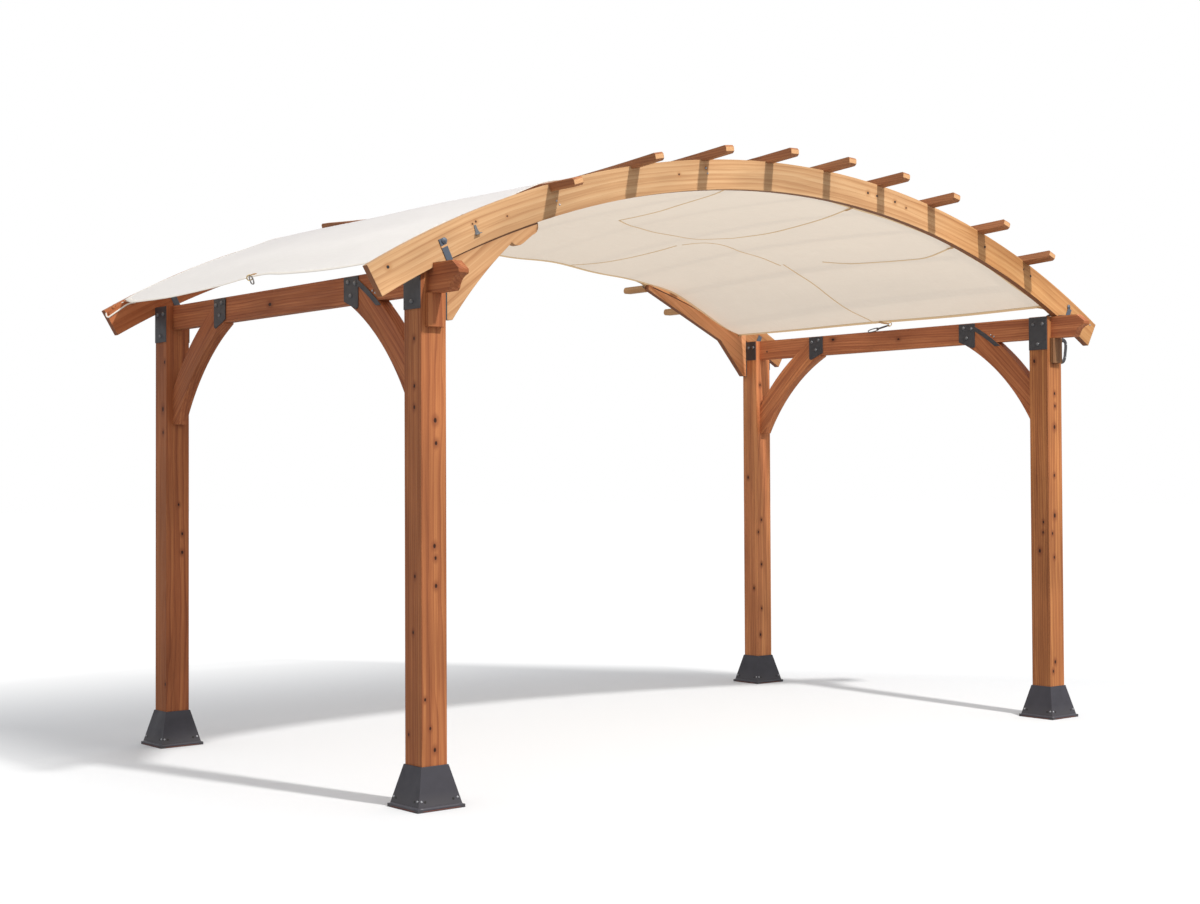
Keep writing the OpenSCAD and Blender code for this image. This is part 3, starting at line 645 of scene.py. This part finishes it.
canopy = {
    # radii of the front and back hems about the arches' centre, at these places across
    "at": (-2.40, -2.215, -2.01, -1.75, -1.60, -1.48, -1.24, -1.03, -0.80, -0.60,
           -0.20, 0.10, 0.48, 0.80, 1.12, 1.38, 1.60, 1.85, 2.05),
    "front": (4.768, 4.770, 4.768, 4.766, 4.775, 4.7815, 4.750, 4.732, 4.705, 4.678,
              4.652, 4.644, 4.643, 4.640, 4.654, 4.650, 4.660, 4.655, 4.668),
    "back": (4.768, 4.781, 4.778, 4.772, 4.776, 4.783, 4.749, 4.733, 4.690, 4.640,
             4.590, 4.566, 4.576, 4.584, 4.616, 4.641, 4.618, 4.607, 4.636),
    "bulge": (0.0, -0.002, 0.0, 0.003, 0.006, 0.007, -0.004, -0.026, 0.012, 0.030,
              0.045, 0.055, 0.055, 0.052, 0.05, 0.042, 0.034, 0.008, -0.018),
    "rightFront": 2.045, "rightBack": 1.970, "leftOut": 0.022,
    # how far the left hem is drawn in towards its middle tie
    "leftAt": (0.0, 0.12, 0.24, 0.34, 0.42, 0.49, 0.56, 0.64, 0.72, 0.84, 0.92, 1.0),
    "leftPull": (0.004, 0.013, 0.034, 0.062, 0.096, 0.092, 0.054, 0.028, 0.008, 0.006, 0.018, 0.070),
    "across": 300, "deep": 150,  # points along the sheet and from front to back
    "slack": 0.004, "slackEvery": 0.412, "folds": 0.0035,  # heights of the waves, and the purlins' spacing
    "drawIn": 0.012, "gaps": 7,  # how far the front and back hems bow in between their ties
    "hem": 0.013, "hemFlat": 0.16, "hemIn": (0.0025, 0.004), "seam": 0.0055, "seamFlat": 0.35,
}


# points of the sheet: across 0 to 1 from the left hem to the right, deep 0 to 1 from front to back; each
# lies at its radius about the arches' centre: the hems' radii mixed by deep, with a bulge between
def sheetPoint(across, deep):
    across, deep = np.broadcast_arrays(np.asarray(across, float), np.asarray(deep, float))
    left = sheetLeft - canopy["leftOut"] + smoothLine(canopy["leftAt"], canopy["leftPull"], deep)
    right = canopy["rightFront"] + (canopy["rightBack"] - canopy["rightFront"]) * deep
    x = left + (right - left) * across
    front, back, bulge = (smoothLine(canopy["at"], canopy[key], x) for key in ("front", "back", "bulge"))
    arc = 4 * deep * (1 - deep)
    radius = front + (back - front) * deep ** 1.2 + bulge * arc
    # slack between the purlins, and long shallow folds from the tie points
    radius = radius + canopy["slack"] * arc * np.cos(x * 2 * np.pi / canopy["slackEvery"] + 0.7)
    radius = radius + canopy["folds"] * np.sin(9.0 * x + 5.0 * deep) * np.sin(2.3 * x - 7.0 * deep + 1.0)
    # the hems pull in between their ties
    y = -sheetEdge + 2 * sheetEdge * deep
    bow = canopy["drawIn"] * np.sin(np.pi * across * canopy["gaps"]) ** 2
    y = y - bow * np.sign(deep - 0.5) * (2 * np.abs(deep - 0.5)) ** 6
    z = archCentre + np.sqrt(radius**2 - x**2)
    return np.stack([x, y, z], -1)


# woven canvas: fine weave, slubs and soft creases; share is the part of the light that comes through, in
# the colour through; pale is its colour at the left
def canvas(name, front, through=None, share=0.0, pale=None):
    mat, tree, shader = newMaterial(name)
    cloth = add(tree, "ShaderNodeUVMap", uv_map="cloth").outputs[0]
    point = objectPoint(tree)
    threads = []
    for way in ("X", "Y"):
        wave = add(tree, "ShaderNodeTexWave", bands_direction=way)
        threads.append(fill(wave, {"Vector": cloth, "Scale": 260.0, "Distortion": 0.6}).outputs["Fac"])
    slub = stretched(cloth, (6.0, 160.0, 1.0), 1.0, 3.0, 0.6)
    cross = stretched(cloth, (160.0, 6.0, 1.0), 1.0, 3.0, 0.6)
    crease = stretched(cloth, (3.0, 1.3, 1.0), 1.6, 4.0, 0.55)
    tone = maths("MULTIPLY_ADD", slub, 0.5, times(cross, 0.5))
    dim = tuple(0.93 * part for part in front)
    colour = blend(swing(tone), (*dim, 1), (*front, 1))
    across = separate(point)["X"]
    if pale:
        colour = blend(spread(across, -1.5, -0.7), (*pale, 1), colour)
    wash = swing(noise(point, 1.7, 3.0)["Fac"], 0.975, 1.0)
    colour = dye(colour, add(tree, "ShaderNodeCombineColor", wash, wash, wash).outputs[0])
    # painted light and shade: lighter and bluer towards the left hem, dimmer towards the right
    paintedLightAndShade = blend(spread(across, -2.2, -1.2), (1.12, 1.135, 1.165, 1), (0.95, 0.965, 1.025, 1))
    paintedLightAndShade = coat(spread(across, -0.6, -0.3), paintedLightAndShade, (0.925, 0.925, 0.925))
    fine = bump(0.35, 0.0006, maths("MULTIPLY_ADD", slub, 0.6, times(*threads)))
    soft = bump(0.2, 0.02, crease, fine)
    fill(shader, {"Base Color": dye(colour, paintedLightAndShade), "Roughness": 0.85,
                  "Specular IOR Level": 0.0, "Normal": soft})
    if share:
        cast = fill(add(tree, "ShaderNodeBsdfTranslucent"), {"Color": (*through, 1), "Normal": soft})
        mixSurface(share, shader, cast)
    return mat


canvasCloth = canvas("cream_canvas", (0.73, 0.715, 0.695), (0.80, 0.66, 0.52), 0.08)
hemCloth = canvas("tan_hem", (0.62, 0.49, 0.33), pale=(0.70, 0.66, 0.60))


# cloth coordinates in metres, one for each point
def giveCloth(obj, uv):
    layer = obj.data.uv_layers.new(name="cloth")
    index = np.zeros(len(obj.data.loops), np.int32)
    obj.data.loops.foreach_get("vertex_index", index)
    layer.data.foreach_set("uv", uv[index].astype(np.float32).ravel())


# cloth coordinates of a tube with its two closing rings: the way along its path and the way round it
def tubeCloth(path, girth, sides=10):
    run = runAlong(path)
    run = np.concatenate([run[:1], run, run[-1:]])
    around = np.linspace(0, girth, sides, endpoint=False)
    return np.stack(np.broadcast_arrays(run[:, None], around[None]), -1).reshape(-1, 2)


# how the sheet runs at those points: the step from a little before each to a little after it
def sheetStep(across, deep, stepAcross, stepDeep):
    after = sheetPoint(np.clip(across + stepAcross, 0, 1), np.clip(deep + stepDeep, 0, 1))
    return after - sheetPoint(np.clip(across - stepAcross, 0, 1), np.clip(deep - stepDeep, 0, 1))


# hems and seams: flattened tubes that follow the sheet, laid flat on it by its own normals
def clothTube(name, lines, radius, flat):
    grids, uvs = [], []
    for across, deep in lines:
        path = sheetPoint(across, deep)
        normal = unit(np.cross(sheetStep(across, deep, 0.002, 0), sheetStep(across, deep, 0, 0.002)))
        grids.append(tube(path, radius, upward=normal, flat=flat))
        uvs.append(tubeCloth(path, 4 * radius))
    obj = makePiece(name, grids, hemCloth)
    giveCloth(obj, np.concatenate(uvs))
    return obj


def makeCanopy():
    across = np.linspace(0, 1, canopy["across"])[:, None]
    deep = np.linspace(0, 1, canopy["deep"])[None, :]
    points = sheetPoint(across, deep)
    sheet = makePiece("canopy_sheet", [(points, False, False)], canvasCloth)
    run = runAlong(points[:, canopy["deep"] // 2])
    giveCloth(sheet, np.stack(np.broadcast_arrays(run[:, None], points[..., 1]), -1).reshape(-1, 2))
    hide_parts("canopy")
    line = np.linspace(0, 1, 220)
    side, edge = (share * np.ones(220) for share in canopy["hemIn"])
    around = [(line, edge), (line, 1 - edge), (side, line), (1 - side, line)]
    hems = clothTube("canopy_hems", around, canopy["hem"], canopy["hemFlat"])
    # the sheet's own lengths, across and from front to back
    steps = np.linalg.norm(np.diff(points, axis=0), axis=-1).sum(0)
    drops = np.linalg.norm(np.diff(points, axis=1), axis=-1).sum(1)
    print("sheet runs", *(run.round(3) for run in (steps.min(), steps.max(), drops.min(), drops.max())))
    return sheet, hems, float(steps.max()), float(drops.max())


sheet, hems, flatLong, flatWide = makeCanopy()
print("canopy made")

# stitched lines across the sheet, as stops of (across, deep)
seamLines = [
    [(0.465, 0.0), (0.473, 0.042), (0.511, 0.182), (0.536, 0.361), (0.548, 0.552)],
    [(0.548, 0.552), (0.590, 0.586), (0.631, 0.608), (0.662, 0.587), (0.692, 0.566), (0.709, 0.511),
     (0.713, 0.472), (0.714, 0.347), (0.693, 0.189), (0.651, 0.021), (0.646, 0.0)],
    [(0.662, 1.0), (0.692, 0.915), (0.705, 0.821), (0.707, 0.730), (0.702, 0.660)],
    [(0.704, 0.645), (0.708, 0.610), (0.716, 0.583), (0.738, 0.565), (0.776, 0.570), (0.824, 0.566),
     (0.838, 0.560)],
    [(0.836, 0.548), (0.885, 0.553), (0.929, 0.551), (1.0, 0.516)],
    [(0.841, 0.430), (0.848, 0.397), (0.855, 0.348), (0.857, 0.272), (0.856, 0.193), (0.851, 0.122),
     (0.827, 0.017), (0.822, 0.0)],
]
seams = clothTube("canopy_seams", [smoothPath(stops, 60).T for stops in seamLines],
                  canopy["seam"], canopy["seamFlat"])
print("seams made")

# ties: webbing tabs, brass rings, steel hooks and one lashing
ties = {
    "web": 0.011, "webFlat": 0.14, "ring": 0.0125, "ringWire": 0.0026, "hookWire": 0.0032, "hookWide": 0.017,
    "cord": 0.0042, "cordGirth": 0.026,
    # webbing from the sheet to the arch or beam that holds it: points in metres
    "tabs": [
        [(0.515, -1.130, 2.718), (0.490, -1.175, 2.717), (0.462, -1.215, 2.714), (0.440, -1.238, 2.716)],
        [(1.285, -1.150, 2.578), (1.268, -1.190, 2.576), (1.240, -1.222, 2.577), (1.215, -1.238, 2.580)],
        [(2.000, -1.190, 2.300), (2.040, -1.212, 2.292), (2.075, -1.222, 2.268)],
        [(1.975, -0.020, 2.296), (2.010, -0.026, 2.290), (2.046, -0.034, 2.288)],
        [(1.945, 1.190, 2.288), (1.972, 1.216, 2.282), (1.986, 1.228, 2.276)],
        [(1.120, 1.205, 2.582), (1.150, 1.225, 2.576), (1.180, 1.236, 2.570)],
        [(-2.296, -0.112, 2.292), (-2.316, -0.118, 2.289), (-2.333, -0.122, 2.280)],
        [(0.520, 1.200, 2.652), (0.505, 1.222, 2.672), (0.500, 1.236, 2.720)],
    ],
    # rings: middle and the way the ring's axis points
    "rings": [((2.090, -1.224, 2.264), (0.5, 1.0, 0.2)), ((2.052, -0.036, 2.284), (0.2, 1.0, 0.6)),
              ((1.992, 1.231, 2.274), (0.3, 1.0, 0.3)), ((-2.332, -0.122, 2.272), (0.3, 1.0, 0.0))],
    # hooks: oval links from one end to the other, and the way across them
    "hooks": [((2.054, -0.028, 2.280), (2.058, 0.075, 2.262), (1, 0, 0)),
              ((2.058, 0.060, 2.264), (2.060, 0.150, 2.252), (0, 0, 1)),
              ((1.955, 1.234, 2.268), (2.040, 1.236, 2.262), (0, 0, 1)),
              ((-2.330, -0.126, 2.280), (-2.328, -0.146, 2.242), (1, 0, 0)),
              ((1.150, 1.236, 2.566), (1.205, 1.237, 2.560), (0, 0, 1)),
              ((2.084, -1.218, 2.262), (2.076, -1.196, 2.252), (1, 0, 0))],
    # the lashing of the back left corner: once round the arch's tail, back to the corner
    "lashing": [
        (-2.262, 1.226, 2.268), (-2.298, 1.2345, 2.257), (-2.350, 1.2345, 2.222), (-2.392, 1.2345, 2.192),
        (-2.404, 1.2350, 2.184), (-2.412, 1.2400, 2.190), (-2.410, 1.2450, 2.212), (-2.390, 1.2480, 2.228),
        (-2.360, 1.2470, 2.246), (-2.320, 1.2420, 2.266), (-2.280, 1.2320, 2.276), (-2.256, 1.2240, 2.276)],
    # wooden toggles on the lashing: middle, axis, size
    "toggles": [((-2.372, 1.243, 2.240), (0.7, 0.2, 0.7), 1.0),
                ((-2.312, 1.240, 2.268), (0.9, 0.1, 0.5), 0.7),
                ((-2.398, 1.239, 2.206), (0.4, 0.2, 0.9), 0.6)],
    # half a toggle's profile, from its waist to its end: (radius, height)
    "toggle": [(0.0055, 0.0), (0.0075, 0.004), (0.0085, 0.010), (0.005, 0.0145), (0.0003, 0.015)],
}


# a closed link with straight sides and round ends: the middle + half the length times cos along it
# + half the width times a squared-off sin across it
def ovalPath(start, end, across, width, n=36):
    start, end, across = (np.asarray(v, float) for v in (start, end, across))
    turn = np.linspace(0, 2 * np.pi, n, endpoint=False)[:, None]
    swing = np.sign(np.sin(turn)) * np.abs(np.sin(turn)) ** 0.6
    ahead = unit(end - start)
    side = unit(np.cross(ahead, np.cross(across, ahead)))
    return (start + end) / 2 + (end - start) / 2 * np.cos(turn) + side * (width / 2) * swing


def makeTabs():
    paths = [smoothPath(stops, 24) for stops in ties["tabs"]]
    grids = [tube(path, ties["web"], 12, upward=(0.0, 0.3, 1.0), flat=ties["webFlat"]) for path in paths]
    webs = makePiece("canopy_tabs", grids, webCloth)
    giveCloth(webs, np.zeros((len(webs.data.vertices), 2)))
    return webs


# a ring is a circle round its axis: middle + size times (side cos + the other side sin)
def makeRings():
    turn = np.linspace(0, 2 * np.pi, 28, endpoint=False)[:, None]
    rings = []
    for middle, axis in ties["rings"]:
        axis = unit(np.asarray(axis, float))
        side = unit(np.cross(axis, (0.0, 0.0, 1.0)))
        circle = middle + ties["ring"] * (np.cos(turn) * side + np.sin(turn) * np.cross(axis, side))
        rings.append(tube(circle, ties["ringWire"], 10, True, tuple(axis)))
    makePiece("canopy_rings", rings, brass)


def makeHooks():
    links = [ovalPath(start, end, across, ties["hookWide"]) for start, end, across in ties["hooks"]]
    hooks = [tube(link, ties["hookWire"], 10, True, (0.1, 0.3, 1.0)) for link in links]
    makePiece("canopy_hooks", hooks, hookSteel)


def makeLashing():
    path = smoothPath(ties["lashing"], 150)
    lashing = makePiece("corner_lashing", [tube(path, ties["cord"])], cordCloth)
    print("lashing length", round(float(runAlong(path)[-1]), 3))
    giveCloth(lashing, tubeCloth(path, ties["cordGirth"]))
    half = ties["toggle"]
    profile = np.array([(radius, -height) for radius, height in half[:0:-1]] + half)
    toggles = []
    for middle, axis, size in ties["toggles"]:
        toggles += turned(profile * size, [middle], [axis], 20)
    makePiece("lashing_toggles", toggles, toggleWood)


webCloth = canvas("tan_webbing", (0.40, 0.27, 0.155))
cordCloth = canvas("cream_cord", (0.74, 0.70, 0.63))
toggleWood = timber("toggle_wood", stained, "z", 71.0, arris=0.001)
hookSteel = steel("hook_steel", (0.15, 0.14, 0.14), 0.36, 0.0008, 0.7)
webs = makeTabs()
makeRings()
makeHooks()
makeLashing()
print("ties made")

# fasteners: profiles as (radius, height) from the middle of the head down to its rim
heads = {
    "dome": [(0.0002, 0.0068), (0.0045, 0.0066), (0.0080, 0.0054), (0.0092, 0.0034), (0.0100, 0.0012),
             (0.0100, -0.001)],
    "washer": [(0.0002, 0.0060), (0.0060, 0.0058), (0.0075, 0.0046), (0.0078, 0.0018), (0.0120, 0.0016),
               (0.0128, 0.0008), (0.0128, -0.001)],
    "screw": [(0.0002, 0.0012), (0.0012, 0.0012), (0.0016, 0.0028), (0.0034, 0.0026), (0.0048, 0.0014),
              (0.0052, 0.0), (0.0052, -0.001)],
    "hole": [(0.0002, 0.0003), (0.0040, 0.0003), (0.0056, 0.0005), (0.0062, 0.0), (0.0062, -0.001)],
}
# corner plates: thickness, bolts as shares of the width, how far they lie under the beam's top and
# underside, the width beside an arch brace; knee plates: start, width, half the gap, bolts (share, drop)
plates = {"thick": 0.004, "bolts": (0.24, 0.76), "drop": 0.042, "lowerDrop": 0.032, "braced": 0.089,
          "kneeNear": {"front": 0.578, "back": 0.538}, "kneeWidth": 0.118, "kneeHalf": 0.027,
          "kneeBolts": ((0.3, 0.026), (0.8, 0.034), (0.5, 0.086))}
# base covers: half widths at the flange's top and at the top, both heights; rows: height, places along
covers = {"foot": 0.108, "top": 0.067, "flange": 0.014, "height": 0.176,
          "holes": (0.040, (-0.072, 0.066)), "screws": (0.043, (-0.090, 0.088))}
# single fixings, which face the front unless their note says that they face left
fixings = {
    "straps": [(-2.055, archFace - 0.0075, 2.344), (2.170, archFace - 0.0035, 2.306)],
    "screws": [(2.370, archFace, 2.214), (2.197, -1.2395, 2.098), (2.187, -1.2395, 2.022)],  # tail, catch
    "archScrews": [(-18.18, 4.695), (-18.05, 4.676), (-7.11, 4.733), (-7.02, 4.708)],  # angle, radius
    "strapScrews": [(-0.815, 2.171), (-0.838, 2.160)],  # Y, height on the front knee straps, facing left
    "openMark": 0.0065,  # marks on the arch larger than this are open holes
    "leftHole": (2.058, 1.049, 2.177),  # faces left
    "braceHoles": [(1.977, 1.2395, 2.050), (1.994, 1.2395, 2.033)],
}
headSides = {"dome": 18, "washer": 24, "screw": 14, "hole": 14}
toFront, toLeft = (0, -1, 0), (-1, 0, 0)


# heads of the bolts through the corner plates and knee plates, on both faces
def plateBolts():
    found = []
    for x, y in corners:
        brace = 1 if (x < 0 and y < 0) else -1 if (x > 0 and y > 0) else 0  # the side an arch brace takes
        near = plates["kneeNear"]["front" if y < 0 else "back"]
        for s in (-1, 1):
            wide = plates["braced"] if s == brace else 2 * halfPost
            low = y + halfPost - wide if y < 0 else y - halfPost
            face = x + s * (halfPost + plates["thick"])
            found += [((face, low + f * wide, beamTop - plates["drop"]), (s, 0, 0)) for f in plates["bolts"]]
            if s != brace:
                found.append(((face, low + wide / 2, beamUnder - plates["lowerDrop"]), (s, 0, 0)))
            face = x + s * (plates["kneeHalf"] + plates["thick"])
            found += [((face, math.copysign(near + f * plates["kneeWidth"], y), beamTop - down), (s, 0, 0))
                      for f, down in plates["kneeBolts"]]
    return found


# a place on a base cover's sloping wall and the wall's outward direction; way is 0 to 3 round the post
def coverPoint(x, y, way, along, z):
    rise, slope = covers["height"] - covers["flange"], covers["foot"] - covers["top"]
    half = covers["foot"] - slope * (z - covers["flange"]) / rise
    outX, outY = [(0, -1), (-1, 0), (0, 1), (1, 0)][way]
    lean = math.atan2(slope, rise)
    place = (x + outX * half - outY * along, y + outY * half + outX * along, z)
    return place, (outX * math.cos(lean), outY * math.cos(lean), math.sin(lean))


# holes or screws round the feet of all base covers
def coverRow(kind):
    z, places = covers[kind]
    return [coverPoint(x, y, way, along, z) for x, y in corners for way in range(4) for along in places]


# one piece of all heads of a kind; places are (place, direction in which the head stands out)
def fasten(name, head, places, material):
    makePiece(name, turned(heads[head], *zip(*places), headSides[head]), material)


def makeFasteners():
    fasten("plate_bolts", "dome", plateBolts(), boltDark)
    fasten("cover_screws", "screw", coverRow("screws"), boltSteel)
    fasten("cover_holes", "hole", coverRow("holes"), screwBlack)
    fasten("strap_bolts", "washer", [(place, toFront) for place in fixings["straps"]], strapSteel)
    small = [(place, toFront) for place in fixings["screws"]]
    small += [(onArch(angle, radius, archFace), toFront) for angle, radius in fixings["archScrews"]]
    strapFace = plates["kneeHalf"] + plates["thick"]
    small += [((s * halfWide - strapFace, y, z), toLeft) for s in (-1, 1) for y, z in fixings["strapScrews"]]
    fasten("small_screws", "screw", small, boltSteel)
    dark = [(onArch(angle, radius, archFace), toFront) for angle, radius, size in archMarks
            if size > fixings["openMark"]]
    dark += [(fixings["leftHole"], toLeft)] + [(place, toFront) for place in fixings["braceHoles"]]
    fasten("timber_holes", "hole", dark, screwBlack)


# a flat strip that stands off the front right post between its bent ends
catch = {"stops": [(2.147, -1.226, 2.108), (2.172, -1.232, 2.121), (2.194, -1.234, 2.110),
                   (2.198, -1.234, 2.085), (2.193, -1.234, 2.050), (2.188, -1.234, 2.022),
                   (2.178, -1.233, 2.004), (2.162, -1.230, 1.998), (2.147, -1.226, 2.002)],
         "half": 0.012, "flat": 0.38}


def makeCatch():
    path = smoothPath(catch["stops"], 60)
    strip = tube(path, catch["half"], 12, upward=(0.0, 1.0, 0.0), flat=catch["flat"])
    makePiece("post_catch", [strip], charcoal)


# rounded beads round the base covers' flanges, and the thin soles under them: tube radius, height of
# its middle, reach from the post's middle; power says how nearly square the rounds are
bead = {"radius": 0.0088, "height": 0.0105, "reach": 0.1085, "sides": 12}
sole = {"radius": 0.0045, "height": 0.0045, "reach": 1.035 * bead["reach"], "sides": 8}
power = 14


# tubes round the posts, each on a superellipse: |x|^power + |y|^power = reach^power
def squareRounds(look):
    turn = np.linspace(0, 2 * np.pi, 160, endpoint=False)
    c, s = np.cos(turn), np.sin(turn)
    reach = look["reach"] / (np.abs(c) ** power + np.abs(s) ** power) ** (1 / power)
    height = np.full_like(c, look["height"])
    return [tube(np.stack([x + reach * c, y + reach * s, height], -1), look["radius"], look["sides"], True)
            for x, y in corners]


makeFasteners()
makeCatch()
makePiece("base_beads", squareRounds(bead), beadCoat)
makePiece("base_soles", squareRounds(sole), soleWood)
print("fasteners made")

# floor, lamps and surround: colours and strengths, sizes and places in metres
studio = {
    "floor": (0.782, 0.803, 0.835), "bounce": 0.45, "half": 60, "white": 1.05, "sky": 0.70, "key": 0.86,
    "lamp": (0.95, -13.8, 15.2), "aim": (0, 0, 1.2), "lampSize": 0.9, "lampTint": (1.0, 0.965, 0.91),
    "lift": 2.15, "liftTint": (1.0, 0.85, 0.68),
}


# a pale paper that turns into plain white behind the object, far to its left and far in front
def makeFloor():
    half = studio["half"]
    mesh = bpy.data.meshes.new("floor")
    square = [(-half, -half, 0), (half, -half, 0), (half, half, 0), (-half, half, 0)]
    mesh.from_pydata(square, [], [(0, 1, 2, 3)])
    floor = newObject("floor", mesh)
    mat, tree, shader = newMaterial("floor_paper")
    seen = add(tree, "ShaderNodeLightPath").outputs["Is Camera Ray"]
    shade = blend(seen, (*[studio["bounce"]] * 3, 1), (*studio["floor"], 1))
    fill(shader, {"Base Color": shade, "Roughness": 0.9, "Specular IOR Level": 0.0})
    place = separate(objectPoint(tree))
    slant = maths("MULTIPLY_ADD", place["X"], 1.3, place["Y"])
    fade = spread(place["Y"], 1.8, 5.6, smooth=True)
    for value, low, high in ((place["X"], -2.3, -3.5), (slant, 4.3, 5.6), (place["Y"], -5.5, -8.0)):
        fade = maths("MAXIMUM", fade, spread(value, low, high, smooth=True))
    white = add(tree, "ShaderNodeEmission", (1, 1, 1, 1), studio["white"])
    mixSurface(times(fade, seen), shader, white)
    mesh.materials.append(mat)


def makeWorld():
    world = bpy.data.worlds.new("studio")
    world.use_nodes = True
    bpy.context.scene.world = world
    tree = world.node_tree
    seen = add(tree, "ShaderNodeLightPath").outputs["Is Camera Ray"]
    fill(tree.nodes["Background"], {"Color": (1, 1, 1, 1),
                                    "Strength": spread(seen, 0, 1, studio["sky"], 1.0)})


# a collection for a light's linking: the objects it takes in, or the only ones it leaves out
def lightGroup(name, objects, leaveOut=False):
    group = bpy.data.collections.new(name)
    for obj in objects:
        group.objects.link(obj)
    if leaveOut:
        for entry in group.collection_objects:
            entry.light_linking.link_state = "EXCLUDE"
    return group


# the key lamp; the brace under the front arch has a key of its own, which the arch doesn't block
def makeKey():
    place = Vector(studio["lamp"])
    aim = Vector(studio["aim"]) - place
    strength = studio["key"] * math.pi**2 * aim.length_squared
    lamp = setAll(bpy.data.lights.new("key", "AREA"), {"shape": "DISK", "size": studio["lampSize"],
                                                       "color": studio["lampTint"], "energy": strength})
    key, own = newObject("key", lamp), newObject("brace_key", lamp)
    for obj in (key, own):
        obj.location = place
        obj.rotation_euler = aim.to_track_quat("-Z", "Y").to_euler()
    brace, arch = [bpy.data.objects["arch_brace_front_left"]], [bpy.data.objects["arch_front"]]
    own.light_linking.receiver_collection = lightGroup("front_brace", brace)
    key.light_linking.receiver_collection = lightGroup("all_but_brace", brace, leaveOut=True)
    own.light_linking.blocker_collection = lightGroup("all_but_arch", arch, leaveOut=True)


# light thrown back by a pale ground; it reaches only the canopy, from below
def makeLift():
    lamp = setAll(bpy.data.lights.new("lift", "SUN"),
                  {"energy": studio["lift"], "color": studio["liftTint"], "use_shadow": False})
    lift = newObject("lift", lamp)
    lift.rotation_euler = (math.pi, 0, 0)
    lift.light_linking.receiver_collection = lightGroup("under_canopy", (sheet, hems, seams, webs))


makeFloor()
makeWorld()
makeKey()
makeLift()
bpy.context.scene.view_settings.view_transform = "Standard"
print("studio made")
